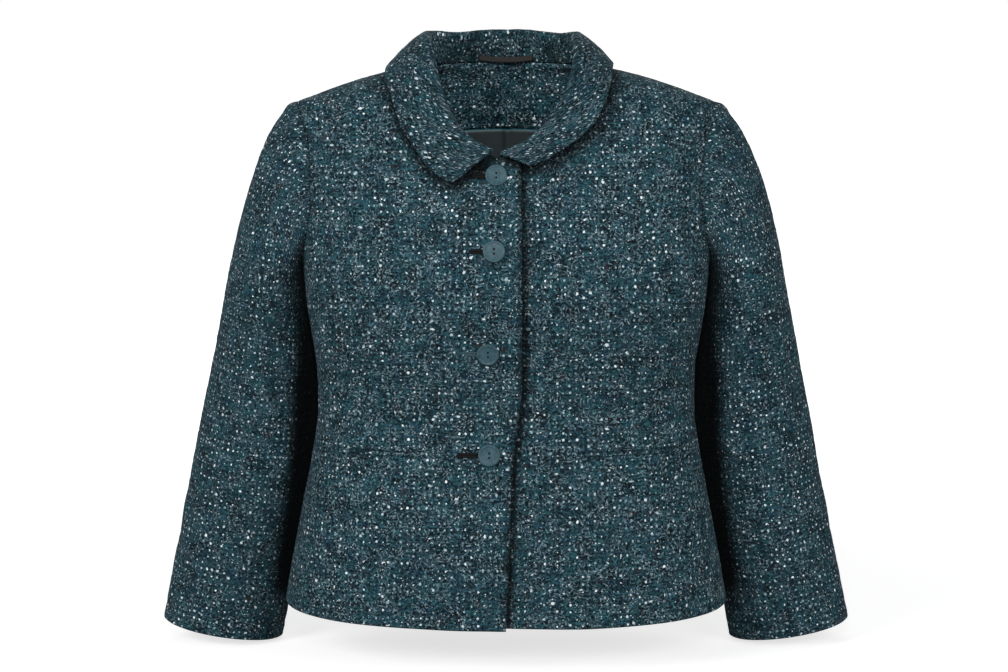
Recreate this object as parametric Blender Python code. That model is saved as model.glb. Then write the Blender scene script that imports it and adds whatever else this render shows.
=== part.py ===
"""A short tweed jacket, buttoned and filled out as when worn, with an empty hollow inside.

Units are metres, +Z is up and the front faces -Y. The origin lies midway between the two
points where the shoulder seams meet the neck seam. Right and left are the wearer's.
"""

import math

import bmesh
import bpy
import numpy as np
from mathutils import Matrix

# Cloth and seams
CLOTH = 0.0026
LINING = 0.0012
FACING = 0.0014
LOOP_TAPE = 0.0012
SEAM = 0.0003
LAYER_GAP = 0.0010

# Levels on the body of the jacket
HEM = -0.508
UNDERARM = -0.185
SHOULDER_TIP = -0.036
FRONT_NECK = -0.083
WAIST = -0.305
FRONT_HEM_DIP = 0.008
BACK_HEM_DIP = 0.004
UNDERLAP_RISE = 0.002

# Neck
NECK_HALF_WIDTH = 0.075
NECK_SHIFT = -0.009

# Closure: the right front laps over the left one
LAP_LIFT = CLOTH + LAYER_GAP
LAP_FULL = 0.042
LAP_START = 0.085
LAP_CORNER_DROP = 0.006
UNDERLAP = 0.030

# Levels of the body, from the neck down
BODY_COLUMNS = ("height", "half_width", "front_depth", "back_depth", "squareness")
BODY = (
    (0.0040, 0.0550, 0.028, 0.060, 2.00),
    (0.0000, 0.0750, 0.034, 0.064, 2.00),
    (-0.0077, 0.1140, 0.044, 0.070, 2.00),
    (-0.0170, 0.1465, 0.053, 0.075, 2.05),
    (-0.0287, 0.1785, 0.060, 0.079, 2.20),
    (-0.0360, 0.1960, 0.063, 0.081, 2.35),
    (-0.0450, 0.1985, 0.067, 0.084, 2.60),
    (-0.0600, 0.1985, 0.072, 0.088, 2.90),
    (-0.0850, 0.1975, 0.081, 0.094, 3.20),
    (-0.1200, 0.1960, 0.094, 0.101, 3.30),
    (-0.1500, 0.1940, 0.105, 0.105, 3.30),
    (-0.1850, 0.1910, 0.115, 0.107, 3.20),
    (-0.2150, 0.1880, 0.118, 0.105, 3.10),
    (-0.2500, 0.1835, 0.113, 0.100, 3.00),
    (-0.2900, 0.1785, 0.104, 0.094, 2.90),
    (-0.3200, 0.1780, 0.101, 0.092, 2.80),
    (-0.3700, 0.1845, 0.104, 0.097, 2.80),
    (-0.4200, 0.1945, 0.110, 0.104, 2.80),
    (-0.4700, 0.2035, 0.116, 0.110, 2.80),
    (-0.5300, 0.2145, 0.121, 0.114, 2.80),
)

# Armhole edge, from the shoulder tip to the underarm
ARMHOLE_COLUMNS = ("height", "front_x", "back_x")
ARMHOLE = (
    (SHOULDER_TIP, 0.1960, 0.1960),
    (-0.0450, 0.1945, 0.1952),
    (-0.0600, 0.1920, 0.1935),
    (-0.0900, 0.1885, 0.1900),
    (-0.1200, 0.1870, 0.1880),
    (-0.1500, 0.1880, 0.1885),
    (-0.1700, 0.1900, 0.1900),
    (UNDERARM, 0.1910, 0.1910),
)

# Edge of the lapping front, measured across from the middle of the body
LAP_COLUMNS = ("height", "edge_x")
LAP = (
    (-0.083, 0.0150),
    (-0.200, 0.0165),
    (-0.300, 0.0165),
    (-0.370, 0.0110),
    (-0.430, 0.0050),
    (-0.525, 0.0005),
)

# Soft folds that run down the cloth of the body below the waist, on front and back:
# x, facing, width and height of each
FLARES = (
    (-0.150, -1, 0.030, 0.0022),
    (0.155, -1, 0.030, 0.0022),
    (-0.120, 1, 0.034, 0.0045),
    (-0.035, 1, 0.036, 0.0030),
    (0.060, 1, 0.034, 0.0040),
    (0.140, 1, 0.030, 0.0035),
)

# Sleeve rings below the head: outer and inner end of each ring as seen from the front
SLEEVE_LINE_X = 0.2643
SLEEVE_LINE_HEIGHT = -0.200
SLEEVE_LINE_SLOPE = 0.206
SLEEVE_COLUMNS = ("outer_height", "inner_height", "inner_x", "half_depth", "mid_y")
SLEEVE = (
    (-0.190, -0.213, 0.1915, 0.071, 0.010),
    (-0.235, -0.255, 0.1845, 0.070, 0.020),
    (-0.280, -0.300, 0.1785, 0.067, 0.030),
    (-0.325, -0.345, 0.1800, 0.063, 0.034),
    (-0.373, -0.393, 0.1880, 0.059, 0.036),
    (-0.425, -0.445, 0.1980, 0.054, 0.037),
    (-0.480, -0.500, 0.2085, 0.050, 0.038),
    (-0.5365, -0.5555, 0.2180, 0.047, 0.038),
)
SLEEVE_HEAD_OUT = (0.105, -0.036)
SLEEVE_UNDER_OUT = (0.012, -0.012)
SLEEVE_HEAD_BULGE = 0.030
SLEEVE_AXIS = (0.19, 0.04, -0.98)
SLEEVE_LEAVE = (0.120, 0.040)

# Soft folds round each sleeve: turn (the angle round it, from outside through the front),
# height, half length as an angle, half width and depth of each
CREASES = (
    (95.0, -0.262, 55.0, 0.016, 0.0030),
    (130.0, -0.300, 50.0, 0.014, 0.0028),
    (250.0, -0.285, 60.0, 0.018, 0.0030),
    (70.0, -0.345, 45.0, 0.016, 0.0020),
)

# Collar, from the middle of the back to the front end; turn swings the fall to the side
COLLAR_CLOTH = 0.0024
COLLAR_FOLD_RADIUS = 0.0034
COLLAR_CLEAR = 0.0016
COLLAR_LEAST_STAND = 0.002
COLLAR_END_GAP = 0.006
COLLAR_FALL_SHARE = 0.85
COLLAR_FALL_BEND = 0.4
WALK_PAST = 1.2
WALK_STEPS = 16
COLLAR_COLUMNS = ("along", "stand", "rise", "reach", "turn", "lift")
COLLAR_RIGHT = (
    (0.00, 0.029, 28.0, 0.021, 0.0, 0.0010),
    (0.25, 0.030, 42.0, 0.025, 0.0, 0.0008),
    (0.42, 0.029, 76.0, 0.034, 0.0, 0.0004),
    (0.55, 0.023, 66.0, 0.037, 0.0, 0.0015),
    (0.68, 0.018, 52.0, 0.033, 2.0, 0.0030),
    (0.80, 0.014, 44.0, 0.0335, 5.0, 0.0040),
    (0.92, 0.009, 42.0, 0.0385, 14.0, 0.0045),
    (1.00, 0.005, 45.0, 0.0390, 34.0, 0.0050),
)
COLLAR_LEFT = (
    (0.00, 0.029, 28.0, 0.021, 0.0, 0.0010),
    (0.25, 0.030, 36.0, 0.024, 0.0, 0.0008),
    (0.42, 0.029, 58.0, 0.0245, 0.0, 0.0006),
    (0.55, 0.026, 58.0, 0.0225, 8.0, 0.0050),
    (0.68, 0.022, 50.0, 0.0240, 26.0, 0.0090),
    (0.80, 0.019, 44.0, 0.026, 42.0, 0.0110),
    (0.92, 0.012, 44.0, 0.026, 56.0, 0.0100),
    (1.00, 0.006, 45.0, 0.027, 52.0, 0.0090),
)

# Inside of the back neck
PLEAT_HEIGHT = 0.0016
FACING_DROP = 0.4
LINING_SHORT = 0.06
LOOP_HALF_LENGTH = 0.026
LOOP_HEIGHT = 0.0055
LOOP_DROOP = 0.002
LOOP_MID = 0.0045
LOOP_CLEAR = 0.0030

# Pocket mouths: two narrow lips along a slit, on each front
POCKET_MID_X = 0.118
POCKET_MID_HEIGHT = -0.353
POCKET_HALF_LENGTH = 0.045
POCKET_HALF_HEIGHT = 0.0045
POCKET_LIP = 0.0009
POCKET_SLIT = 0.0006

# Buttons: x and height of each, from the neck down
BUTTONS = ((-0.0090, -0.101), (-0.0110, -0.168), (-0.0165, -0.259), (-0.0155, -0.355))
BUTTON_RADIUS = 0.0101
BUTTON_THICKNESS = 0.0032
BUTTON_RIM = 0.0016
BUTTON_SOFT_EDGE = 0.0005
BUTTON_DISH = 0.0008
BUTTON_HOLE_RADIUS = 0.0010
BUTTON_HOLE_OFFSET = 0.0021
BUTTON_SIDES = 24
HOLE_SIDES = 8
BUTTON_STANDOFF = 0.0006

# Mesh fineness
HEM_ROWS = 11
ARMHOLE_LOW_ROWS = 5
ARMHOLE_HIGH_ROWS = 8
FRONT_EDGE_ROWS = 1
FRONT_COLUMNS = 11
SHOULDER_COLUMNS = 6
NECK_COLUMNS = 8
SLEEVE_HEAD_ROWS = 9
SLEEVE_ROWS = 15
COLLAR_STEPS = 2
STAND_STEPS = 3
FOLD_STEPS = 5
FALL_STEPS = 5
FACING_ROW = 18
FACING_COLUMN = 4
LINING_ROW = 1
LOOP_POINTS = 11
POCKET_POINTS = 13
RING_SAMPLES = 181
SLOPE_STEP = 1e-4
LANDING_PASSES = 3
SHARP_EDGE = 50.0

COLOURS = {
    "tweed": ((0.036, 0.062, 0.075), 0.92),
    "lining": ((0.021, 0.028, 0.032), 0.55),
    "tape": ((0.022, 0.018, 0.017), 0.60),
    "button": ((0.056, 0.114, 0.138), 0.42),
}


def column(table, names, name):
    return np.array([row[names.index(name)] for row in table], float)


def smooth(xs, ys):
    """A curve through a table that never swings past its own values."""
    order = np.argsort(xs)
    xs = np.asarray(xs, float)[order]
    ys = np.asarray(ys, float)[order]
    gaps = np.diff(xs)
    slopes = np.diff(ys) / gaps
    tangents = np.empty_like(ys)
    tangents[0] = slopes[0]
    tangents[-1] = slopes[-1]
    before, after = slopes[:-1], slopes[1:]
    same_way = before * after > 0
    safe_sum = np.where(same_way, before + after, 1.0)
    tangents[1:-1] = np.where(same_way, 2 * before * after / safe_sum, 0.0)

    def curve(x):
        x = np.clip(x, xs[0], xs[-1])
        place = np.clip(np.searchsorted(xs, x, side="right") - 1, 0, len(gaps) - 1)
        t = (x - xs[place]) / gaps[place]
        rise = ys[place + 1] - ys[place]
        start = tangents[place] * gaps[place]
        end = tangents[place + 1] * gaps[place]
        return ys[place] + t * (start + t * (3 * rise - 2 * start - end + t * (start + end - 2 * rise)))

    return curve


def smooth_column(table, names, key, name):
    return smooth(column(table, names, key), column(table, names, name))


half_width = smooth_column(BODY, BODY_COLUMNS, "height", "half_width")
front_depth = smooth_column(BODY, BODY_COLUMNS, "height", "front_depth")
back_depth = smooth_column(BODY, BODY_COLUMNS, "height", "back_depth")
squareness = smooth_column(BODY, BODY_COLUMNS, "height", "squareness")
armhole_front = smooth_column(ARMHOLE, ARMHOLE_COLUMNS, "height", "front_x")
armhole_back = smooth_column(ARMHOLE, ARMHOLE_COLUMNS, "height", "back_x")
lap_edge = smooth_column(LAP, LAP_COLUMNS, "height", "edge_x")


def ease(t):
    t = np.clip(t, 0.0, 1.0)
    return t * t * (3 - 2 * t)


def unit(vectors):
    vectors = np.asarray(vectors, float)
    length = np.linalg.norm(vectors, axis=-1, keepdims=True)
    return vectors / np.maximum(length, 1e-12)


def spaced(points, count):
    """Points at equal steps along a polyline."""
    points = np.asarray(points, float)
    steps = np.linalg.norm(np.diff(points, axis=0), axis=1)
    along = np.concatenate([[0.0], np.cumsum(steps)])
    wanted = np.linspace(0.0, along[-1], count)
    return np.stack([np.interp(wanted, along, points[:, i]) for i in range(points.shape[1])], axis=1)


# The surface of the body


def surface_y(x, z, facing):
    """Depth of the body's surface at x and z; facing is -1 for the front and 1 for the back."""
    depth = front_depth(z) if facing < 0 else back_depth(z)
    power = squareness(z)
    left = np.clip(1 - (np.abs(x) / half_width(z)) ** power, 0.0, 1.0)
    return facing * depth * left ** (1 / power)


def field(points):
    x, y, z = points[..., 0], points[..., 1], points[..., 2]
    depth = np.where(y < 0, front_depth(z), back_depth(z))
    power = squareness(z)
    return (np.abs(x) / half_width(z)) ** power + (np.abs(y) / depth) ** power - 1


def gradient(points):
    parts = []
    for axis in range(3):
        shift = np.zeros(3)
        shift[axis] = SLOPE_STEP
        parts.append((field(points + shift) - field(points - shift)) / (2 * SLOPE_STEP))
    return np.stack(parts, axis=-1)


def surface_normal(points):
    return unit(gradient(np.asarray(points, float)))


def surface_points(x, z, facing):
    x, z = np.asarray(x, float), np.asarray(z, float)
    return np.stack([x, surface_y(x, z, facing), z], axis=-1)


def ridge_height(x):
    """Height of the shoulder seam above a given x."""
    heights = np.linspace(SHOULDER_TIP, 0.0, RING_SAMPLES)
    return np.interp(np.abs(x), half_width(heights)[::-1], heights[::-1])


def level_row(z, x_from, x_to, count, facing):
    """x at equal steps along the level z, from one x to another."""
    width, power = half_width(z), squareness(z)
    ends = [math.copysign(math.asin(min(1.0, abs(x) / width) ** (power / 2)), x) for x in (x_from, x_to)]
    angles = np.linspace(ends[0], ends[1], RING_SAMPLES)
    x = np.sign(np.sin(angles)) * width * np.abs(np.sin(angles)) ** (2 / power)
    row = np.stack([x, surface_y(x, z, facing)], axis=1)
    return spaced(row, count)[:, 0]


def hem_dip(x, facing):
    across = 1 - (np.abs(x) / half_width(HEM)) ** 2
    return (FRONT_HEM_DIP if facing < 0 else BACK_HEM_DIP) * np.clip(across, 0.0, 1.0)


def flare_relief(points, facing):
    below = ease((WAIST - points[..., 2]) / (WAIST - HEM))
    relief = np.zeros(points.shape[:-1])
    for x, side, width, height in FLARES:
        if side == facing:
            relief += height * np.exp(-(((points[..., 0] - x) / width) ** 2))
    return relief * below


def armhole_points(facing, count):
    """Armhole edge on the wearer's left, from the underarm up to the shoulder tip."""
    edge = armhole_front if facing < 0 else armhole_back
    turn = np.linspace(0.0, math.pi, RING_SAMPLES)
    z = UNDERARM + (SHOULDER_TIP - UNDERARM) * (1 - np.cos(turn)) / 2
    points = surface_points(edge(z), z, facing)
    points[0, 1] = 0.0
    points[-1, 1] = 0.0
    return spaced(points, count)


def neck_edge(side, count):
    """Front neck seam of one side, from its lowest point up to the shoulder seam."""
    angle = np.linspace(0.0, math.pi / 2, count)
    width = NECK_HALF_WIDTH - side * NECK_SHIFT
    return np.stack([NECK_SHIFT + side * width * np.sin(angle), FRONT_NECK * np.cos(angle)], axis=1)


# Mesh and material


def material(kind):
    made = bpy.data.materials.get(kind)
    if made:
        return made
    colour, roughness = COLOURS[kind]
    made = bpy.data.materials.new(kind)
    made.use_nodes = True
    shader = made.node_tree.nodes["Principled BSDF"]
    shader.inputs["Base Color"].default_value = (*colour, 1.0)
    shader.inputs["Roughness"].default_value = roughness
    shader.inputs["Metallic"].default_value = 0.0
    return made


def finish(name, bm, kind):
    bmesh.ops.recalc_face_normals(bm, faces=bm.faces)
    mesh = bpy.data.meshes.new(name)
    bm.to_mesh(mesh)
    bm.free()
    mesh.shade_smooth()
    mesh.set_sharp_from_angle(angle=math.radians(SHARP_EDGE))
    mesh.materials.append(material(kind))
    made = bpy.data.objects.new(name, mesh)
    bpy.context.scene.collection.objects.link(made)
    made.parent = jacket
    return made


def wall(name, outer, inner, kind, around=False):
    """A closed wall between two grids of points, open at its ends or joined all round."""
    bm = bmesh.new()
    skins = [[[bm.verts.new(p) for p in row] for row in grid] for grid in (outer, inner)]
    rows, cols = len(outer), len(outer[0])
    spans = range(cols if around else cols - 1)
    for skin in skins:
        for r in range(rows - 1):
            for c in spans:
                d = (c + 1) % cols
                bm.faces.new((skin[r][c], skin[r][d], skin[r + 1][d], skin[r + 1][c]))
    out, ins = skins
    for r in (0, rows - 1):
        for c in spans:
            d = (c + 1) % cols
            bm.faces.new((out[r][c], out[r][d], ins[r][d], ins[r][c]))
    if not around:
        for c in (0, cols - 1):
            for r in range(rows - 1):
                bm.faces.new((out[r][c], out[r + 1][c], ins[r + 1][c], ins[r][c]))
    return finish(name, bm, kind)


# Fronts and back


def body_rows(armhole):
    """Middle level, outer level and outer x of each row of a panel below the neck, hem first."""
    rows = [(z, z, float(half_width(z))) for z in np.linspace(HEM, UNDERARM, HEM_ROWS)]
    middles = np.linspace(UNDERARM, FRONT_NECK - LAP_CORNER_DROP, ARMHOLE_LOW_ROWS + 2)
    rows += [(middles[i], armhole[i, 2], armhole[i, 0]) for i in range(1, ARMHOLE_LOW_ROWS + 1)]
    return rows


def lower_points(rows, inner_edge, shares, facing, edge_rise=0.0):
    """Grid of the part below the neck; shares run from 0 in the middle to 1 at the outer edge."""
    grid = []
    for middle, level, outer_x in rows:
        x = level_row(level, inner_edge(middle, outer_x), outer_x, len(shares), facing)
        z = middle + (level - middle) * shares**2
        dip = hem_dip(x, facing) - edge_rise * ease(1 - np.abs(x) / LAP_START)
        low = z - dip * ease((WAIST - z) / (WAIST - HEM))
        grid.append(surface_points(x * half_width(low) / half_width(level), low, facing))
    return grid


def across(left, right, count, bulge_to, weight):
    """Points in the front view from left to right, bent up towards a higher line."""
    t = np.linspace(0.0, 1.0, count)[:, None]
    row = left + (right - left) * t
    row[:, 1] += weight * bulge_to
    return row


def front_grid(side):
    """Outer surface of one front, hem to shoulder, in rows from its front edge outwards."""
    high = ARMHOLE_HIGH_ROWS
    armhole = armhole_points(-1, ARMHOLE_LOW_ROWS + high + 1)
    lapping = side < 0

    def edge(z, _outer_x):
        return -float(lap_edge(z)) if lapping else -UNDERLAP

    shares = np.linspace(0.0, 1.0, FRONT_COLUMNS)
    grid = lower_points(body_rows(armhole), edge, shares, -1, 0.0 if lapping else UNDERLAP_RISE)
    neck = neck_edge(side, RING_SAMPLES) * (side, 1.0)
    neck_3d = surface_points(neck[:, 0], neck[:, 1], -1)
    seam = spaced(neck_3d, high - FRONT_EDGE_ROWS + 1)[:, [0, 2]]
    corner = np.array([edge(FRONT_NECK, 0.0), FRONT_NECK - LAP_CORNER_DROP])
    lefts = [corner] + list(seam[1:])
    tip_line = np.linspace(lefts[-1], armhole[-1, [0, 2]], FRONT_COLUMNS)
    bulge = ridge_height(tip_line[:, 0]) - tip_line[:, 1]
    for i, left in enumerate(lefts):
        right = armhole[ARMHOLE_LOW_ROWS + 1 + i, [0, 2]]
        row = across(left, right, FRONT_COLUMNS, bulge, ((i + 1) / high) ** 2)
        grid.append(surface_points(row[:, 0], row[:, 1], -1))
    grid[-1][:, 1] = 0.0
    grid[-1][:, 2] = ridge_height(grid[-1][:, 0])
    return np.array(grid)


def lap_lift(x):
    return LAP_LIFT * ease((LAP_START + x) / (LAP_START - LAP_FULL))


def make_front(name, side):
    """Front panel in place: mirrored to its side, folded, lifted where it laps, off the seam."""
    flat = front_grid(side) * (side, 1, 1)
    flat[..., 1] -= SEAM / 2
    normals = surface_normal(flat)
    relief = flare_relief(flat, -1)
    if side < 0:
        relief = relief + lap_lift(flat[..., 0])
    outer = flat + normals * relief[..., None]
    wall(name, outer, outer - normals * CLOTH, "tweed")
    return outer, flat


def top_line():
    """Shoulder seam, neck seam and shoulder seam across the back, in the front view."""
    shoulder_x = np.linspace(half_width(SHOULDER_TIP), NECK_HALF_WIDTH, RING_SAMPLES)
    shoulder = np.stack([-shoulder_x, ridge_height(shoulder_x)], axis=1)
    shoulder = spaced(shoulder, SHOULDER_COLUMNS + 1)
    angle = np.linspace(-math.pi / 2, math.pi / 2, NECK_COLUMNS + 1)
    neck = np.stack([NECK_HALF_WIDTH * np.sin(angle), np.zeros(NECK_COLUMNS + 1)], axis=1)
    mirrored = shoulder[::-1] * (-1, 1)
    return np.concatenate([shoulder, neck[1:-1], mirrored])


def back_grid():
    high = ARMHOLE_HIGH_ROWS
    armhole = armhole_points(1, ARMHOLE_LOW_ROWS + high + 1)
    top = top_line()
    shares = np.abs(np.linspace(-1.0, 1.0, len(top)))
    grid = lower_points(body_rows(armhole), lambda _z, outer_x: -outer_x, shares, 1)
    joint = grid[-1][:, [0, 2]]
    joint_level = joint[0, 1]
    for i in range(1, high + 1):
        end = armhole[ARMHOLE_LOW_ROWS + i, [0, 2]]
        t = (end[1] - joint_level) / (SHOULDER_TIP - joint_level)
        row = joint + (top - joint) * t
        row[:, 0] *= end[0] / row[-1, 0]
        grid.append(surface_points(row[:, 0], row[:, 1], 1))
    on_seam = np.abs(top[:, 0]) > NECK_HALF_WIDTH - 1e-6
    grid[-1][on_seam, 1] = 0.0
    return np.array(grid)


def make_back(name):
    grid = back_grid()
    normals = surface_normal(grid)
    outer = grid + normals * flare_relief(grid, 1)[..., None]
    outer[..., 1] += SEAM / 2
    wall(name, outer, outer - normals * CLOTH, "tweed")
    return outer, normals, grid


# Sleeves


def sleeve_ring(z_share, turns):
    """Ring of a sleeve on the wearer's left; z_share counts the table's rows."""
    rows = np.arange(len(SLEEVE))

    def at(name):
        return float(smooth(rows, column(SLEEVE, SLEEVE_COLUMNS, name))(z_share))

    outer_z, inner_z, inner_x = at("outer_height"), at("inner_height"), at("inner_x")
    outer_x = SLEEVE_LINE_X + SLEEVE_LINE_SLOPE * (SLEEVE_LINE_HEIGHT - outer_z)
    outer = np.array([outer_x, at("mid_y"), outer_z])
    inner = np.array([inner_x, at("mid_y"), inner_z])
    lean_back = np.array([0.0, -1.0, -SLEEVE_AXIS[1]])
    middle, arm = (outer + inner) / 2, (outer - inner) / 2
    return middle + np.cos(turns)[:, None] * arm + np.sin(turns)[:, None] * at("half_depth") * lean_back


def crease_relief(turns, heights):
    relief = np.zeros_like(heights)
    for turn, height, half_length, half_width_, depth in CREASES:
        off = np.abs(np.degrees(turns) - turn) / half_length
        relief -= depth * ease(1 - off) * np.exp(-(((heights - height) / half_width_) ** 2))
    return relief


def sleeve_grid(front, back):
    """Outer surface of the left sleeve from the armhole seam to the cuff."""
    low = HEM_ROWS - 1
    front_edge = front[low:, -1]
    back_edge = back[low:, -1]
    loop = np.concatenate([front_edge[::-1], back_edge[1:-1]])
    loop[0, 1] = 0.0
    loop[len(front_edge) - 1, 1] = 0.0
    loop[:, 0] += SEAM + SEAM / 3
    front_turns = np.linspace(0.0, math.pi, len(front_edge))
    back_turns = np.linspace(math.pi, 2 * math.pi, len(back_edge))[1:-1]
    turns = np.concatenate([front_turns, back_turns])
    top_share = (1 + np.cos(turns)) / 2
    head, under = np.array(SLEEVE_HEAD_OUT), np.array(SLEEVE_UNDER_OUT)
    leave = under + (head - under) * top_share[:, None]
    start = np.stack([leave[:, 0], -SLEEVE_HEAD_BULGE * np.sin(turns), leave[:, 1]], axis=1)
    biceps = sleeve_ring(0.0, turns)
    length = SLEEVE_LEAVE[1] + (SLEEVE_LEAVE[0] - SLEEVE_LEAVE[1]) * top_share
    end = unit(SLEEVE_AXIS) * length[:, None]
    rows = []
    for t in np.linspace(0.0, 1.0, SLEEVE_HEAD_ROWS + 1):
        rise = biceps - loop
        rows.append(loop + t * (start + t * (3 * rise - 2 * start - end + t * (start + end - 2 * rise))))
    for share in np.linspace(0.0, len(SLEEVE) - 1, SLEEVE_ROWS + 1)[1:]:
        rows.append(sleeve_ring(share, turns))
    grid = np.array(rows)
    normals = grid_normals(grid)
    relief = np.array([crease_relief(turns, row[:, 2]) for row in grid])
    return grid + normals * relief[..., None]


def grid_normals(grid):
    """Normals of a tube given as rings, facing out."""
    around = np.roll(grid, -1, axis=1) - np.roll(grid, 1, axis=1)
    along = np.gradient(grid, axis=0)
    normals = unit(np.cross(along, around))
    middles = grid.mean(axis=1, keepdims=True)
    if np.sum((grid - middles) * normals) < 0:
        normals = -normals
    return normals


def make_sleeve(name, side, front, back):
    outer = sleeve_grid(front * (side, 1, 1), back)
    inner = outer - grid_normals(outer) * CLOTH
    flip = np.array([side, 1, 1])
    wall(name, outer * flip, inner * flip, "tweed", around=True)


# Collar


def neck_line(side, front, back):
    """Neck seam from the middle of the back to the front end of one side, through the panels' points."""
    middle = back.shape[1] // 2
    back_half = back[-1, middle + side * np.arange(NECK_COLUMNS // 2 + 1)]
    front_half = front[HEM_ROWS + ARMHOLE_LOW_ROWS :, 0][::-1]
    line = np.concatenate([back_half, front_half[1:]])
    before, last = line[-2], line[-1]
    end_x = NECK_SHIFT + side * COLLAR_END_GAP
    line[-1] = before + (last - before) * (end_x - before[0]) / (last[0] - before[0])
    shares = np.linspace(0.0, 1.0, COLLAR_STEPS + 1)[1:, None]
    points = [line[:1]] + [a + (b - a) * shares for a, b in zip(line, line[1:])]
    return np.concatenate(points)


def walk(start, heading, length, count):
    """Points and normals met on a straight walk over the body's surface."""
    points, normals = [np.array(start)], [surface_normal(start)]
    step = length / count
    for _ in range(count):
        heading = unit(heading - normals[-1] * np.dot(heading, normals[-1]))
        point = points[-1] + heading * step
        for _ in range(LANDING_PASSES):
            slope = gradient(point)
            point = point - slope * field(point) / np.dot(slope, slope)
        points.append(point)
        normals.append(surface_normal(point))
    return np.array(points), np.array(normals)


def collar_section(stand, rise, reach, seam_height, edge_height):
    """Middle line of the collar: out along the surface and up off it, seam to outer edge."""
    lean = math.radians(180 - rise)
    way = np.array([math.cos(lean), math.sin(lean)])
    start = np.array([-2 * SEAM - COLLAR_CLOTH / 2 * abs(way[1]), seam_height])
    straight = max(stand - COLLAR_FOLD_RADIUS, COLLAR_LEAST_STAND)
    line = [start + way * straight * t for t in np.linspace(0.0, 1.0, STAND_STEPS + 1)]
    centre = line[-1] + COLLAR_FOLD_RADIUS * np.array([way[1], -way[0]])
    edge = np.array([reach, edge_height])
    drop = math.atan2(centre[1] + COLLAR_FOLD_RADIUS - edge_height, reach - centre[0])
    for turn in np.linspace(0.0, lean + COLLAR_FALL_SHARE * drop, FOLD_STEPS + 1)[1:]:
        spoke = lean + math.pi / 2 - turn
        line.append(centre + COLLAR_FOLD_RADIUS * np.array([math.cos(spoke), math.sin(spoke)]))
    bend = line[-1]
    heading = unit(line[-1] - line[-2])
    control = bend + heading * COLLAR_FALL_BEND * np.linalg.norm(edge - bend)
    for t in np.linspace(0.0, 1.0, FALL_STEPS + 1)[1:]:
        line.append((1 - t) ** 2 * bend + 2 * t * (1 - t) * control + t * t * edge)
    return np.array(line)


def thickened(line, thickness):
    """The two sides of a flat line, half the thickness away from it."""
    along = unit(np.gradient(line, axis=0))
    aside = np.stack([-along[:, 1], along[:, 0]], axis=1)
    return line + aside * thickness / 2, line - aside * thickness / 2


def collar_half(side, front, back):
    """Upper and under skin of the collar at each station, from the back to one front end."""
    table = COLLAR_RIGHT if side < 0 else COLLAR_LEFT
    curves = [smooth_column(table, COLLAR_COLUMNS, "along", name) for name in COLLAR_COLUMNS[1:]]
    seam = neck_line(side, front, back)
    steps = np.linalg.norm(np.diff(seam, axis=0), axis=1)
    along = np.concatenate([[0.0], np.cumsum(steps)]) / steps.sum()
    forwards = unit(np.gradient(seam, axis=0))
    skins = ([], [])
    for start, forward, share in zip(seam, forwards, along):
        stand, rise, reach, turn, lift = [float(curve(share)) for curve in curves]
        normal = surface_normal(start)
        out = unit(np.cross(forward, normal)) * -side
        swing = math.radians(turn)
        out = math.cos(swing) * out - math.sin(swing) * forward
        lap = float(lap_lift(start[0])) if side < 0 and start[1] < 0 else 0.0
        edge_height = COLLAR_CLOTH / 2 + COLLAR_CLEAR + lift + lap
        line = collar_section(stand, rise, reach, lap - CLOTH / 2, edge_height)
        base, base_normals = walk(start, out, reach * WALK_PAST, WALK_STEPS)
        travelled = np.linspace(0.0, reach * WALK_PAST, WALK_STEPS + 1)
        for skin, side_line in zip(skins, thickened(line, COLLAR_CLOTH)):
            skin.append([lifted(p, start, out, normal, travelled, base, base_normals) for p in side_line])
    return skins


def lifted(place, start, out, normal, travelled, base, base_normals):
    """Space point of a section point given as distance out over the surface and height off it."""
    if place[0] <= 0:
        return start + out * place[0] + normal * place[1]
    foot = np.array([np.interp(place[0], travelled, base[:, i]) for i in range(3)])
    up = unit([np.interp(place[0], travelled, base_normals[:, i]) for i in range(3)])
    return foot + up * place[1]


def make_collar(name, right_front, left_front, back):
    right = collar_half(-1, right_front, back)
    left = collar_half(1, left_front, back)
    upper = np.array(right[0][::-1] + left[0][1:])
    under = np.array(right[1][::-1] + left[1][1:])
    wall(name, upper, under, "tweed")


# Inside of the back neck


def inner_layer(name, panel, depth, thickness, kind, relief=0.0):
    """A layer on the inside of a panel, made from its points, moved in."""
    points, normals = panel
    outer = points - normals * depth
    wall(name, outer, outer - normals * (thickness + relief), kind)


def make_facing(name, back):
    panel = []
    for grid in back:
        rows = grid[FACING_ROW - 1 :, FACING_COLUMN:-FACING_COLUMN].copy()
        rows[1] += (rows[0] - rows[1]) * FACING_DROP
        panel.append(rows[1:])
    inner_layer(name, panel, CLOTH + LAYER_GAP, FACING, "tweed")


def make_lining(name, back):
    """Lining from above the hem to the facing, with a pleat down the middle."""
    panel = []
    for grid in back:
        rows = grid[LINING_ROW : FACING_ROW + 1, 1:-1].copy()
        rows[-1] += (rows[-2] - rows[-1]) * (FACING_DROP + LINING_SHORT)
        panel.append(rows)
    columns = panel[0].shape[1]
    relief = np.zeros((1, columns, 1))
    relief[0, columns // 2] = PLEAT_HEIGHT
    inner_layer(name, panel, CLOTH + 2 * LAYER_GAP, LINING, "lining", relief)


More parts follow.
